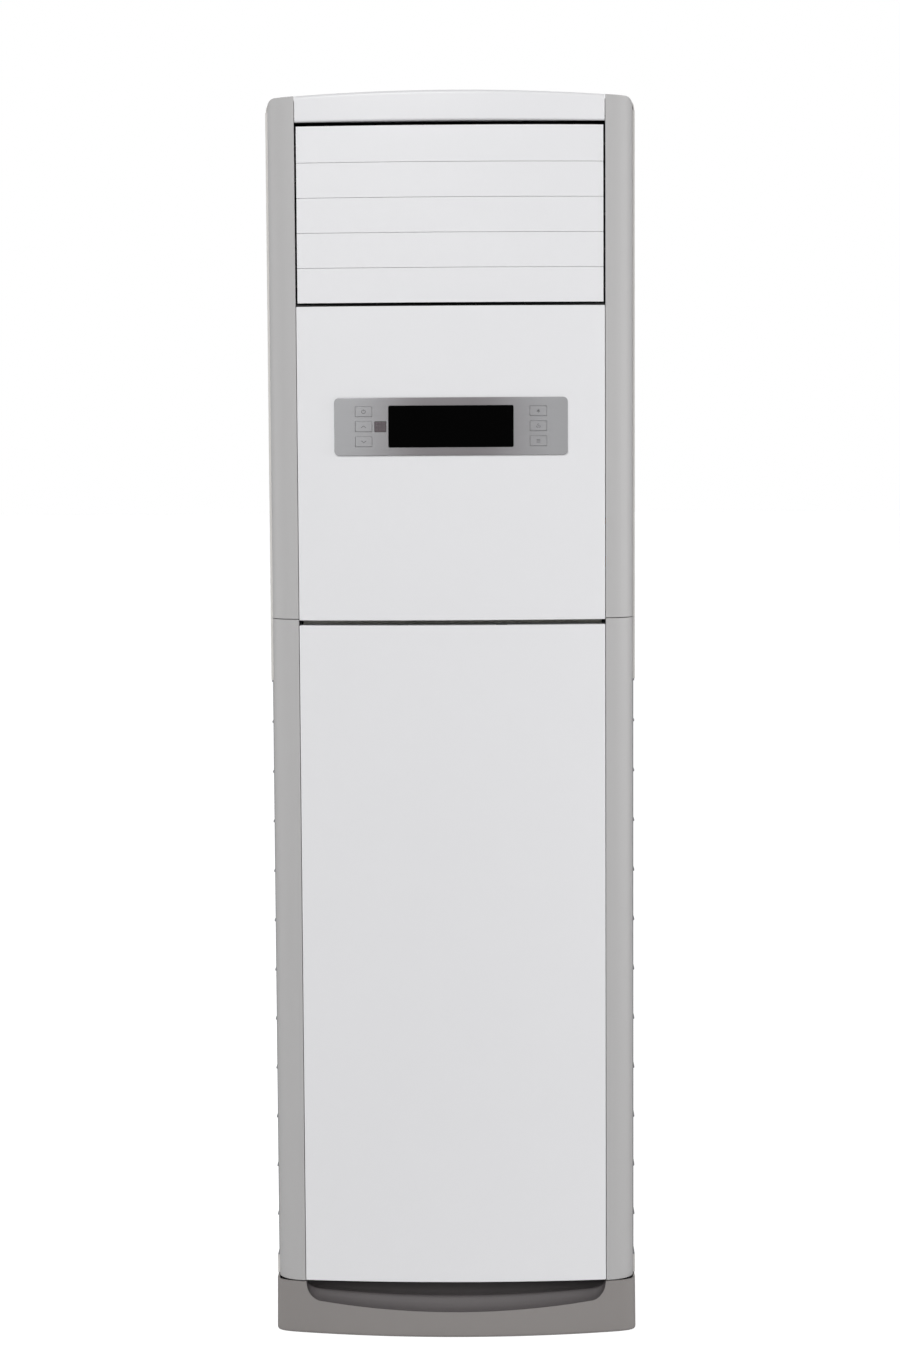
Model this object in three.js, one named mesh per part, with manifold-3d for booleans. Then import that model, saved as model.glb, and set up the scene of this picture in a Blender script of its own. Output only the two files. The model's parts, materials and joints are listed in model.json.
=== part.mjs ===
// Floor standing air conditioner, cabinet type, about 24 000 BTU/h.
// Millimetres, +Z up, front towards -Y. The origin lies on the floor, under the middle of the cabinet.

import * as THREE from 'three';
import { mergeVertices } from 'three/addons/utils/BufferGeometryUtils.js';
import Module from 'manifold-3d';

const wasm = await Module();
wasm.setup();

// ---------- driving dimensions ----------

// Plan of the cabinet
const cabinetWidth = 520;
const cabinetDepth = 328;
const columnFace = 39.3; // width of a grey corner column, seen from the front
const sideReveal = 3.5; // how far a side panel stands out past its column
const seam = 1; // visible joint between a front panel and a column
const bulge = 10; // how far the cap and the plinth stand in front of the panels
const panelRadius = 1950; // plan radius of the white front
const bulgeRadius = 1071; // plan radius of the cap and the plinth
const columnStep = 2.5; // how far a column's inner edge lies behind the panel face
const columnReturn = 36; // depth of the rounded corner, front to back
const plinthReturn = 26; // the same on the plinth, which is squarer
const plinthCornerReach = 0.7; // how far the plinth's front runs on before it turns
const columnHeadWeb = 60; // closed top of a column's rear face
const crownRadius = 4666; // the top is a shallow arch
const topCornerRadius = 12;

// Heights, from the floor up
const plinthHeight = 76.5;
const columnSeam = 1.5;
const lowerColumnLength = 956;
const midSeam = 1.2;
const doorLift = 2.5; // door's lower edge above the plinth
const doorDrop = 8; // door's upper edge below the top of the lower column
const panelGap = 7; // dark joint between the door and the upper panel
const upperPanelHeight = 440.5;
const outletSill = 4.5; // dark joint below the lowest louvre
const bladeCount = 5;
const bladePitch = 48.6;
const bladeSeam = 0.8;
const outletHead = 9.5; // space above the highest louvre
const capHeight = 39.5;
const upperRibFoot = 110; // stiffening ribs inside the upper panel
const upperRibHead = 70;

// Walls and clearances
const wall = 3; // moulded covers
const steel = 1.5; // sheet steel
const duct = 2.2; // moulded air duct
const fit = 0.4; // between pieces that touch
const pinPlay = 0.4; // between a pin and its hole, on the radius

// Louvres
const bladeThickness = 2.6;
const bladeEndGap = 3; // blade end to column
const bladeSetback = 8.37; // pivot behind the columns' front
const bladeCheek = 2;
const bladePinRadius = 3;
const crankLength = 14;
const crankThickness = 3;
const crankHubRadius = 4.2;
const crankEyeRadius = 4;
const linkPinRadius = 2;
const lipThickness = 1; // lip on a blade's top edge, behind the next blade's foot
const lipReach = 3.5;
const linkThickness = 2.5;
const linkHalfWidth = 3.6;
const louverMotorRadius = 9.5;
const louverMotorLength = 14;
const louverMotorOffset = 8.5; // motor centre behind its shaft

// Outlet duct
const ductBend = 120; // radius of its rear bend
const ductSkirt = 24; // how far it reaches below the outlet's floor

// Vertical vanes
const vaneCount = 6;
const vanePitch = 70;
const vaneChord = 44;
const vaneThickness = 2;
const vanePivotDepth = 76; // behind the panel face
const vaneEndGap = 2.5;
const vanePinRadius = 2.5;
const vaneBarThickness = 4;
const vaneBarHalfWidth = 2.8;
const vaneBarPinRadius = 1.5;
const vaneBarInset = 5; // bar pin to the vane's rear edge
const vaneNotchHeight = 12;
const vaneMotorRadius = 12;
const vaneMotorLength = 15;

// Control panel
const bezelWidth = 328;
const bezelHeight = 81;
const bezelCorner = 7;
const bezelDrop = 168; // centre below the top of the upper panel
const bezelProud = 2.5;
const bezelBorder = 5;
const bezelBody = 8;
const displayWidth = 175;
const displayHeight = 58;
const displayCorner = 2.4;
const receiverWidth = 16;
const receiverHeight = 14.5;
const receiverOffset = 99;
const buttonWidth = 24;
const buttonHeight = 14.4;
const buttonColumn = 122.5;
const buttonPitch = 21;
const buttonTravel = 0.5;
const plungerGap = 0.6; // button at full travel to the board's key
const boardDepth = 20;
const boardHeight = 72;
const boardInset = 9; // board's end to the bezel's end

// Door, filter and side intakes
const doorPivotDepth = 11; // behind the door's face at mid width
const doorPivotDrop = 10; // below the door's top edge
const hingeOffset = 70;
const hingePinRadius = 3;
const filterWidth = 380;
const filterThickness = 8;
const filterDepth = 117; // filter's front behind the panel face
const filterFootRoom = 38; // above the electrical box
const filterHeadRoom = 36; // below the deck, more than the filter's lift
const filterTabInset = 60;
const filterTabWidth = 40;
const filterStopInset = 90; // end of the holder's lower stop to the filter's edge
const filterPlay = 1; // between the filter and its channels
const filterBars = 3;
const filterRoom = 16; // filter's front to the scroll
const slotFoot = 104;
const slotLength = 841;
const slotWidth = 60; // from the side panel's front edge back
const slotRibPitch = 72;
const slotBars = 1;
const slotRibThickness = 2.4;
const slotRibDepth = 12;
const slotFrame = 2.4;
const slotBarThickness = 2;

// Blower
const blowerHeight = 690;
const tongueGap = 12; // wheel to the start of the scroll
const wheelBladeDepth = 30;
const wheelWidth = 100;
const wheelRim = 7;
const wheelBladeCount = 24;
const inletOverlap = 8; // inlet's rim inside the blades' inner edges
const inletLip = 22; // rounding of the inlet
const scrollRoom = 2.38; // scroll to the gas pipe
const scrollGrowth = 12; // radius gained per radian
const scrollTongue = 125; // degrees from +X
const scrollWidth = 120;
const scrollFlare = 50; // how far the outlet widens past the tongue
const scrollWall = 2.5;
const motorRadius = 62;
const motorLength = 58;
const motorOverlap = 46; // motor's face inside the wheel
const wheelGap = 12; // wheel to the housing's front plate
const cupDepth = 64;
const shaftRadius = 6;
const spiderReach = 30; // spider arm past the motor
const spiderWidth = 24;

// Cooling coil, drain and pipes
const coilLength = 424;
const coilThickness = 44;
const coilLean = 26; // degrees back from upright
const coilEndRoom = 15.2; // beside the block, for the return bends
const coilBend = 10; // reach of a hairpin's bend past the block
const coilCheek = 1.6; // end plate
const coilTubeRadius = 3.4;
const panDepth = 76;
const panHeight = 36;
const hairpinPitch = 64;
const hairpinCount = 6;
const pipeInset = 26; // pipes' centre line to the cabinet's side
const gasPipeRadius = 7.9;
const gasPipeY = 86;
const gasPipeFoot = 150;
const gasPipeStart = 76; // along the coil, between two hairpins
const liquidPipeRadius = 4.8;
const liquidPipeY = 112;
const liquidPipeFoot = 190;
const liquidPipeStart = 140;
const pipeBend = 20;
const drainRadius = 9;
const drainWall = 2.6;
const drainOutletHeight = 52;
const drainDrop = 90; // straight down from the pan
const drainSlant = 110; // height in which the hose crosses to the side
const drainRun = 60; // last stretch, out through the rear
const drainFall = 30;
const drainHoseBend = 26;

// Electrical box
const boxWidth = 300;
const boxDepth = 90;
const boxFoot = 120;
const boxHeight = 270;
const coverSlots = 4;
const coverSlotLength = 60;
const coverSlotPitch = 14;
const relayRoom = 20; // between the parts on the box's rear wall
const boardFoot = 120; // controller board above the box's floor
const controllerHeight = 40;
const controllerDepth = 29;
const relayWidth = 50;
const relayHeight = 50;
const relayDepth = 33;

// Base and rear
const basePanLip = 30;
const footHoleInset = 40;
const footHoleRadius = 6;
const panRibPitch = 120;
const panRibWidth = 24;
const panRibHeight = 5;
const panRibInset = 60; // rib's end to the pan's edge
const scoopDepth = 60;
const scoopDrop = 38.5;
const scoopEndDrop = 27.5;
const scoopCorner = 23;
const servicePanelTop = 380;
const pipeHoleWidth = 44;
const pipeHoleHeight = 84;
const beadPitch = 150;
const beadWidth = 28;
const beadDepth = 4;
const beadFoot = 60; // bead's lower end above the panel's edge
const beadHead = 90;
const bracketThickness = 2.4;
const bracketWidth = 110;
const bracketHeight = 34;
const bracketHoleOffset = 34;
const bracketDrop = 46; // centre below the side panels' top

// ---------- places worked out from the sizes above ----------

const halfWidth = cabinetWidth / 2;
const frontMost = -cabinetDepth / 2;
const backMost = cabinetDepth / 2;
const rearFace = backMost - bracketThickness - fit;
const panelFront = frontMost + bulge;
const columnOuter = halfWidth - sideReveal;
const columnInner = columnOuter - columnFace;
const panelHalf = columnInner - seam;

const lowerColumnBottom = plinthHeight + columnSeam;
const lowerColumnTop = lowerColumnBottom + lowerColumnLength;
const doorBottom = plinthHeight + doorLift;
const doorTop = lowerColumnTop - doorDrop;
const upperPanelBottom = doorTop + panelGap;
const upperPanelTop = upperPanelBottom + upperPanelHeight;
const bladeFoot = upperPanelTop + outletSill;
const bladeHead = bladeFoot + bladeCount * bladePitch;
const capBottom = bladeHead + outletHead;
const cabinetHeight = capBottom + capHeight;

const arcDrop = (x, radius) => radius - Math.sqrt(radius * radius - x * x);
const panelY = (x) => panelFront + arcDrop(x, panelRadius);
const bulgeY = (x) => frontMost + arcDrop(x, bulgeRadius);
const crownZ = (x) => cabinetHeight - arcDrop(x, crownRadius);

const columnFront = panelY(columnInner) + columnStep;
const cornerBack = columnFront + columnReturn;
const columnBack = cornerBack + 16;
const sideHemFront = cornerBack + 4;
const sideInner = halfWidth - steel;
const sideTop = crownZ(halfWidth) - 16;
const skirtOuter = halfWidth - wall - 0.5 - fit; // the side panel goes down inside the plinth
const topCoverFront = columnBack + fit;
const topCoverWall = 2;

const deckTop = doorTop - 0.5;
const deckBottom = deckTop - steel;
const deckFront = panelFront + 36;
const deckFlange = 24;

const boxHead = boxFoot + boxHeight;
const filterFoot = boxHead + filterFootRoom;
const filterHeight = deckBottom - filterHeadRoom - filterFoot;

const pipeX = halfWidth - pipeInset;
const pipeEnd = rearFace - 11; // flared ends, just inside the service panel
const drainEnd = rearFace;

// Facets of the curved surfaces
const arcSteps = 8;
const cornerSteps = 5;

// ---------- solids ----------

function solidOf(geometry) {
  const bare = geometry.index ? geometry.toNonIndexed() : geometry.clone();
  bare.deleteAttribute('normal');
  bare.deleteAttribute('uv');
  const merged = mergeVertices(bare, 1e-4);
  const vertProperties = new Float32Array(merged.attributes.position.array);
  const triVerts = new Uint32Array(merged.index.array);
  return new wasm.Manifold(new wasm.Mesh({ numProp: 3, vertProperties, triVerts }));
}

function geometryOf(solid) {
  const mesh = solid.getMesh();
  const geometry = new THREE.BufferGeometry();
  geometry.setAttribute('position', new THREE.BufferAttribute(mesh.vertProperties, 3));
  geometry.setIndex(new THREE.BufferAttribute(mesh.triVerts, 1));
  const flat = geometry.toNonIndexed();
  flat.computeVertexNormals();
  return flat;
}

function join(first, ...others) {
  return others.reduce((total, solid) => total.add(solid), first);
}

function cut(first, ...others) {
  return others.reduce((total, solid) => total.subtract(solid), first);
}

function box(x0, x1, y0, y1, z0, z1) {
  const geometry = new THREE.BoxGeometry(x1 - x0, y1 - y0, z1 - z0);
  geometry.translate((x0 + x1) / 2, (y0 + y1) / 2, (z0 + z1) / 2);
  return solidOf(geometry);
}

function shapeOf(outline) {
  if (outline instanceof THREE.Shape) {
    return outline;
  }
  return new THREE.Shape(outline.map(([u, v]) => new THREE.Vector2(u, v)));
}

// An arc of the outline gets arcFacets facets: the library doubles curveSegments on arcs
function extruded(outline, length, arcFacets = 6) {
  return new THREE.ExtrudeGeometry(shapeOf(outline), {
    depth: length,
    bevelEnabled: false,
    curveSegments: Math.ceil(arcFacets / 2),
    steps: 1,
  });
}

// Outline in (y, z), run along X
function prismX(outline, x0, x1, arcFacets) {
  const geometry = extruded(outline, x1 - x0, arcFacets);
  geometry.applyMatrix4(new THREE.Matrix4().set(0, 0, 1, x0, 1, 0, 0, 0, 0, 1, 0, 0, 0, 0, 0, 1));
  return solidOf(geometry);
}

// Outline in (x, z), run along Y
function prismY(outline, y0, y1, arcFacets) {
  const geometry = extruded(outline, y1 - y0, arcFacets);
  geometry.applyMatrix4(new THREE.Matrix4().set(1, 0, 0, 0, 0, 0, -1, y1, 0, 1, 0, 0, 0, 0, 0, 1));
  return solidOf(geometry);
}

// Outline in (x, y), run along Z
function prismZ(outline, z0, z1, arcFacets) {
  const geometry = extruded(outline, z1 - z0, arcFacets);
  geometry.translate(0, 0, z0);
  return solidOf(geometry);
}

function rodX(y, z, radius, x0, x1, sides = 8) {
  const geometry = new THREE.CylinderGeometry(radius, radius, x1 - x0, sides);
  geometry.rotateZ(Math.PI / 2);
  geometry.translate((x0 + x1) / 2, y, z);
  return solidOf(geometry);
}

function rodY(x, z, radius, y0, y1, sides = 8) {
  const geometry = new THREE.CylinderGeometry(radius, radius, y1 - y0, sides);
  geometry.translate(x, (y0 + y1) / 2, z);
  return solidOf(geometry);
}

function rodZ(x, y, radius, z0, z1, sides = 8) {
  const geometry = new THREE.CylinderGeometry(radius, radius, z1 - z0, sides);
  geometry.rotateX(Math.PI / 2);
  geometry.translate(x, y, (z0 + z1) / 2);
  return solidOf(geometry);
}

// Profile in (radius, y), turned about a line along Y through (x, z)
function revolve(profile, x, z, segments = 40) {
  const points = profile.map(([radius, y]) => new THREE.Vector2(radius, y));
  const geometry = new THREE.LatheGeometry(points, segments);
  geometry.translate(x, 0, z);
  return solidOf(facingOut(geometry));
}

// Path of straight runs joined by round bends, with stations only at its ends and bends
class BentPath extends THREE.Curve {
  constructor(corners, bend, bendSteps) {
    super();
    const points = corners.map(([x, y, z]) => new THREE.Vector3(x, y, z));
    const last = points.length - 1;
    this.stations = [points[0]];
    for (let i = 1; i < last; i += 1) {
      const from = points[i - 1].clone().sub(points[i]).setLength(bend).add(points[i]);
      const to = points[i + 1].clone().sub(points[i]).setLength(bend).add(points[i]);
      this.stations.push(...new THREE.QuadraticBezierCurve3(from, points[i], to).getPoints(bendSteps));
    }
    this.stations.push(points[last]);
  }

  getPoint(t, target = new THREE.Vector3()) {
    const place = t * (this.stations.length - 1);
    const station = Math.min(Math.floor(place), this.stations.length - 2);
    return target.lerpVectors(this.stations[station], this.stations[station + 1], place - station);
  }

  getPointAt(u, target) {
    return this.getPoint(u, target);
  }

  getTangentAt(u, target) {
    return this.getTangent(u, target);
  }
}

function tube(corners, radius, bend, bendSteps = 2, sides = 8) {
  const section = new THREE.Shape();
  section.absarc(0, 0, radius, 0, 2 * Math.PI);
  const path = new BentPath(corners, bend, bendSteps);
  const geometry = new THREE.ExtrudeGeometry(section, {
    extrudePath: path,
    steps: path.stations.length - 1,
    curveSegments: Math.ceil(sides / 2),
  });
  return solidOf(facingOut(geometry));
}

function signedVolume(geometry) {
  const corner = [new THREE.Vector3(), new THREE.Vector3(), new THREE.Vector3()];
  const place = geometry.attributes.position;
  const count = geometry.index ? geometry.index.count : place.count;
  let total = 0;
  for (let i = 0; i < count; i += 3) {
    for (let k = 0; k < 3; k += 1) {
      const vertex = geometry.index ? geometry.index.getX(i + k) : i + k;
      corner[k].fromBufferAttribute(place, vertex);
    }
    total += corner[0].dot(corner[1].cross(corner[2])) / 6;
  }
  return total;
}

function facingOut(geometry) {
  if (signedVolume(geometry) > 0) {
    return geometry;
  }
  const flat = geometry.index ? geometry.toNonIndexed() : geometry;
  const values = flat.attributes.position.array;
  for (let i = 0; i < values.length; i += 9) {
    for (let k = 0; k < 3; k += 1) {
      const kept = values[i + 3 + k];
      values[i + 3 + k] = values[i + 6 + k];
      values[i + 6 + k] = kept;
    }
  }
  return flat;
}

// Closed skin over convex rings of points, all with the same even count
function loft(rings) {
  const count = rings[0].length;
  const values = [];
  const push = (a, b, c) => values.push(...a, ...b, ...c);
  for (let r = 0; r + 1 < rings.length; r += 1) {
    for (let i = 0; i < count; i += 1) {
      const next = (i + 1) % count;
      push(rings[r][i], rings[r][next], rings[r + 1][next]);
      push(rings[r][i], rings[r + 1][next], rings[r + 1][i]);
    }
  }
  const last = rings.length - 1;
  for (let i = 0; i + 1 < count / 2; i += 1) {
    const far = count - 1 - i;
    push(rings[0][i], rings[0][far], rings[0][far - 1]);
    push(rings[0][i], rings[0][far - 1], rings[0][i + 1]);
    push(rings[last][i], rings[last][far - 1], rings[last][far]);
    push(rings[last][i], rings[last][i + 1], rings[last][far - 1]);
  }
  const geometry = new THREE.BufferGeometry();
  geometry.setAttribute('position', new THREE.Float32BufferAttribute(values, 3));
  return solidOf(facingOut(geometry));
}

function mirrored(solid) {
  const geometry = geometryOf(solid);
  geometry.scale(-1, 1, 1);
  return solidOf(facingOut(geometry));
}

function roundRect(width, height, radius, centreX = 0, centreZ = 0) {
  const shape = new THREE.Shape();
  const right = centreX + width / 2 - radius;
  const left = centreX - width / 2 + radius;
  const top = centreZ + height / 2 - radius;
  const bottom = centreZ - height / 2 + radius;
  shape.absarc(right, top, radius, 0, Math.PI / 2);
  shape.absarc(left, top, radius, Math.PI / 2, Math.PI);
  shape.absarc(left, bottom, radius, Math.PI, 1.5 * Math.PI);
  shape.absarc(right, bottom, radius, 1.5 * Math.PI, 2 * Math.PI);
  return shape;
}

// Band of the front's arc, from one offset behind the white face to another
function frontBand(half, near, far) {
  const shape = new THREE.Shape();
  const nearRadius = panelRadius - near;
  const farRadius = panelRadius - far;
  const centre = panelFront + panelRadius;
  const nearAngle = Math.asin(half / nearRadius);
  const farAngle = Math.asin(half / farRadius);
  const down = -Math.PI / 2;
  shape.absarc(0, centre, nearRadius, down - nearAngle, down + nearAngle, false);
  shape.absarc(0, centre, farRadius, down + farAngle, down - farAngle, true);
  return shape;
}

// Plate that follows the front's arc, with an outline in (x, z)
function curvedPlate(outline, near, far, cornerFacets = 2) {
  const band = prismZ(frontBand(panelHalf, near, far), 0, cabinetHeight, arcSteps);
  return prismY(outline, frontMost - 20, 0, cornerFacets).intersect(band);
}

// ---------- materials ----------

const finish = (colour, roughness, metalness = 0) => ({ colour, roughness, metalness });
const whitePlastic = finish(0xe6e6e8, 0.35);
const greyPaint = finish(0xb4b1af, 0.4, 0.1);
const plinthPlastic = finish(0x7f7b79, 0.5);
const bodySteel = finish(0xcfcdca, 0.45, 0.2);
const zincSteel = finish(0x9fa3a6, 0.4, 0.8);
const blackPlastic = finish(0x17181a, 0.6);
const silverFilm = finish(0x9b999c, 0.3, 0.3);
const darkGlass = finish(0x050506, 0.08);
const boardGreen = finish(0x2c5a3c, 0.6);
const aluminium = finish(0xc4c7c9, 0.35, 0.9);
const copper = finish(0xb06a3c, 0.3, 0.9);
const greyPlastic = finish(0x8c8f92, 0.55);
const foam = finish(0xe9e7e0, 0.9);
const wheelPlastic = finish(0x4a4c50, 0.5);

const group = new THREE.Group();

function add(name, solid, look) {
  const material = new THREE.MeshStandardMaterial({
    color: look.colour,
    roughness: look.roughness,
    metalness: look.metalness,
  });
  const mesh = new THREE.Mesh(geometryOf(solid), material);
  mesh.name = name;
  group.add(mesh);
}

// ---------- outlines shared by the cabinet's covers ----------

// Corner curve from the front face round to the side, as points
function cornerPoints(x0, y0, x1, y1, slope, share = 0.55) {
  const reach = (x1 - x0) * share;
  const curve = new THREE.CubicBezierCurve(
    new THREE.Vector2(x0, y0),
    new THREE.Vector2(x0 + reach, y0 + reach * slope),
    new THREE.Vector2(x1, y1 - (y1 - y0) * 0.62),
    new THREE.Vector2(x1, y1),
  );
  return curve.getPoints(cornerSteps).map((point) => [point.x, point.y]);
}

// Front edge of the bulged plan, left to right, drawn in by an inset
function bulgedFront(inset) {
  const x0 = columnInner;
  const slope = x0 / (bulgeRadius - inset);
  const y0 = bulgeY(x0) + inset;
  const back = y0 + plinthReturn;
  const corner = cornerPoints(x0, y0, halfWidth - inset, back, slope, plinthCornerReach);
  const right = corner.slice(1);
  const points = right.map(([x, y]) => [-x, y]).reverse();
  for (let i = 0; i <= arcSteps; i += 1) {
    const x = -x0 + (2 * x0 * i) / arcSteps;
    points.push([x, bulgeY(x) + inset]);
  }
  return points.concat(right);
}

// The same front closed by a straight rear edge with matching stations
function bulgedRing(inset, rear, z) {
  const front = bulgedFront(inset);
  const back = front.map(([x]) => [x, rear - inset]).reverse();
  return front.concat(back).map(([x, y]) => [x, y, z]);
}

// Plan of one corner column, right-hand side
function columnPlan(inset) {
  const slope = columnInner / panelRadius;
  const front = columnFront + inset;
  const corner = cornerPoints(columnInner + inset, front, columnOuter - inset, cornerBack, slope);
  return [...corner, [columnOuter - inset, columnBack], [columnInner + inset, columnBack]];
}

// Arched top with rounded outer corners, in (x, z), from a lower level up
function crownOutline(half, drop, foot, radius) {
  const points = [[-half, foot]];
  const edge = half - radius;
  const centre = crownZ(edge) - drop - radius;
  const steps = 3;
  for (let i = 0; i < steps; i += 1) {
    const angle = Math.PI - (Math.PI / 2) * (i / steps);
    points.push([-edge + radius * Math.cos(angle), centre + radius * Math.sin(angle)]);
  }
  for (let i = 0; i <= arcSteps; i += 1) {
    const x = -edge + (2 * edge * i) / arcSteps;
    points.push([x, crownZ(x) - drop]);
  }
  for (let i = 1; i <= steps; i += 1) {
    const angle = Math.PI / 2 - (Math.PI / 2) * (i / steps);
    points.push([edge + radius * Math.cos(angle), centre + radius * Math.sin(angle)]);
  }
  points.push([half, foot]);
  return points;
}

// ---------- base ----------

function basePan() {
  const half = skirtOuter - steel - fit;
  const front = cornerBack - 4;
  const rear = rearFace - 5;
  const tray = box(-half, half, front, rear, 0, basePanLip);
  const hollow = box(
    -half + steel, half - steel,
    front + steel, rear - steel,
    steel, basePanLip + 1,
  );
  const holes = [];
  for (const x of [-1, 1]) {
    for (const y of [front + footHoleInset, rear - footHoleInset]) {
      holes.push(rodZ(x * (half - footHoleInset), y, footHoleRadius, -1, steel + 1, 8));
    }
  }
  const rib = (x) => box(
    x - panRibWidth / 2, x + panRibWidth / 2,
    front + panRibInset, rear - panRibInset,
    steel - 0.2, steel + panRibHeight,
  );
  return join(cut(tray, hollow, ...holes), rib(-panRibPitch), rib(0), rib(panRibPitch));
}

// Lip of the hand recess under the door, as a height above the floor
function scoopLip(x) {
  const corner = panelHalf - scoopCorner;
  const end = plinthHeight - scoopEndDrop;
  if (Math.abs(x) <= corner) {
    const share = x / corner;
    return plinthHeight - scoopDrop + (scoopDrop - scoopEndDrop) * share * share;
  }
  const share = Math.min(1, (Math.abs(x) - corner) / scoopCorner);
  return end + (plinthHeight - end) * (1 - Math.sqrt(1 - share * share));
}

function scoopRing(x, grow, top) {
  const drop = Math.max(0.5, plinthHeight - scoopLip(x)) + grow;
  const front = bulgeY(x) - 6;
  const reach = scoopDepth * Math.sqrt(drop / (scoopDrop + grow)) + grow;
  const ring = [[x, front, top]];
  const steps = 4;
  for (let i = 0; i <= steps; i += 1) {
    const angle = (Math.PI / 2) * (i / steps);
    const y = front + 4 + reach * Math.sin(angle);
    ring.push([x, y, plinthHeight - drop * Math.cos(angle)]);
  }
  ring.splice(1, 0, [x, front, plinthHeight - drop]);
  ring.push([x, front + 4 + reach, top]);
  return ring;
}

function scoop(grow, top) {
  const corner = panelHalf - scoopCorner;
  const stations = [];
  const steps = 4;
  for (let i = steps; i >= 0; i -= 1) {
    stations.push(-corner - (scoopCorner + grow) * Math.sin((Math.PI / 2) * (i / steps)));
  }
  for (let i = 1; i < arcSteps; i += 1) {
    stations.push(-corner + (2 * corner * i) / arcSteps);
  }
  for (let i = 0; i <= steps; i += 1) {
    stations.push(corner + (scoopCorner + grow) * Math.sin((Math.PI / 2) * (i / steps)));
  }
  return loft(stations.map((x) => scoopRing(x, grow, top)));
}

function plinth() {
  const rear = rearFace - steel - fit;
  const foot = 1;
  const outer = loft([
    bulgedRing(2.5, rear, foot),
    bulgedRing(0.6, rear, foot + 1.6),
    bulgedRing(0, rear, foot + 4),
    bulgedRing(0.8, rear, plinthHeight),
  ]);
  const inner = loft([
    bulgedRing(wall + 0.5, rear + 20, foot - 2),
    bulgedRing(wall + 0.5, rear + 20, plinthHeight - wall),
  ]);
  const frontOpening = box(
    -columnInner + 16, columnInner - 16,
    frontMost + 50, rear + 5,
    plinthHeight - wall - 1, plinthHeight + 1,
  );
  const rearOpening = box(
    -skirtOuter - fit, skirtOuter + fit,
    columnBack + 4, rear + 5,
    plinthHeight - wall - 1, plinthHeight + 1,
  );
  const recess = scoop(wall, plinthHeight - 0.01).intersect(outer);
  const shell = cut(outer, inner, frontOpening, rearOpening);
  return cut(join(shell, recess), scoop(0, plinthHeight + 2));
}

// ---------- columns ----------

function columnSolid(bottom, top, inset) {
  const plan = columnPlan(inset);
  const body = prismZ(plan, bottom, top);
  const crown = prismY(crownOutline(columnOuter, inset, 0, topCornerRadius), frontMost, backMost);
  return body.intersect(crown);
}

function columnShell(bottom, top) {
  const over = top >= cabinetHeight ? top : top - wall;
  const outer = columnSolid(bottom, top, 0);
  const inner = columnSolid(bottom + wall, over, wall);
  const back = box(
    columnInner + wall, columnOuter - wall,
    columnBack - wall - 1, columnBack + 1,
    bottom + wall, over - (top >= cabinetHeight ? columnHeadWeb : 0),
  );
  return cut(outer, inner, back);
}

function lowerColumn() {
  return columnShell(lowerColumnBottom, lowerColumnTop);
}

function upperColumn() {
  const shell = columnShell(lowerColumnTop + midSeam, cabinetHeight);
  // The outlet duct passes where the inner return would be
  const relief = box(
    columnInner - 1, columnInner + wall + duct + fit,
    columnFront + wall + fit, columnBack + 1,
    upperPanelTop - 4, capBottom + 14,
  );
  return cut(shell, relief);
}

// ---------- side, rear and top covers ----------

function sidePanel() {
  const bottom = lowerColumnBottom;
  const hem = 8;
  const rearFlange = 16;
  const rear = rearFace - steel - fit;
  const plan = [
    [halfWidth, sideHemFront],
    [halfWidth, rear],
    [halfWidth - rearFlange, rear],
    [halfWidth - rearFlange, rear - steel],
    [sideInner, rear - steel],
    [sideInner, sideHemFront + hem],
    [columnOuter + fit, sideHemFront + hem],
    [columnOuter + fit, sideHemFront],
  ];
  const slot = box(
    columnOuter, halfWidth + 1,
    sideHemFront - 1, sideHemFront + slotWidth,
    slotFoot, slotFoot + slotLength,
  );
  const skirtFront = columnBack + 4 + fit;
  const step = box(skirtOuter - steel, halfWidth - 0.5, skirtFront, rear, bottom, bottom + steel);
  const skirt = box(skirtOuter - steel, skirtOuter, skirtFront, rear, 4, bottom + steel);
  return join(cut(prismZ(plan, bottom, sideTop), slot), step, skirt);
}

// Intake in the side panel's slot. Its ribs run round the cabinet's front corner, over a thin
// strip beside the column; behind the column the spaces between ribs and bars are open.
function intakeGrille() {
  const front = sideHemFront + 0.4;
  const back = sideHemFront + slotWidth - fit;
  const openFront = columnBack + fit + slotFrame;
  const outerX = halfWidth - 0.6;
  const innerX = sideInner - fit - slotRibDepth;
  const foot = slotFoot + fit;
  const head = slotFoot + slotLength - fit;
  const rim = 6;
  const plate = box(innerX, outerX, front, back, foot, head);
  const flange = box(
    sideInner - fit - 2, sideInner - fit,
    openFront - 1, back + rim,
    foot - rim, head + rim,
  );
  const besideColumn = box(
    innerX - 1, columnOuter + fit,
    front - 1, columnBack + fit,
    foot - rim - 1, head + rim + 1,
  );
  const openings = [];
  const ribCount = Math.floor((slotLength - slotRibPitch * 0.6) / slotRibPitch);
  const firstRib = slotFoot + (slotLength - (ribCount - 1) * slotRibPitch) / 2;
  const edges = [foot + slotFrame - slotRibThickness / 2];
  for (let i = 0; i < ribCount; i += 1) {
    edges.push(firstRib + i * slotRibPitch);
  }
  edges.push(head - slotFrame + slotRibThickness / 2);
  const inside = back - openFront - slotFrame;
  const cell = (inside - slotBars * slotBarThickness) / (slotBars + 1);
  for (let i = 0; i + 1 < edges.length; i += 1) {
    const low = edges[i] + slotRibThickness / 2;
    const high = edges[i + 1] - slotRibThickness / 2;
    openings.push(box(columnOuter + fit + 1, outerX + 1, front - 1, openFront, low, high));
    for (let k = 0; k <= slotBars; k += 1) {
      const y = openFront + k * (cell + slotBarThickness);
      openings.push(box(innerX - 1, outerX + 1, y, y + cell, low, high));
    }
  }
  return cut(join(flange, plate), besideColumn, ...openings);
}

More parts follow.
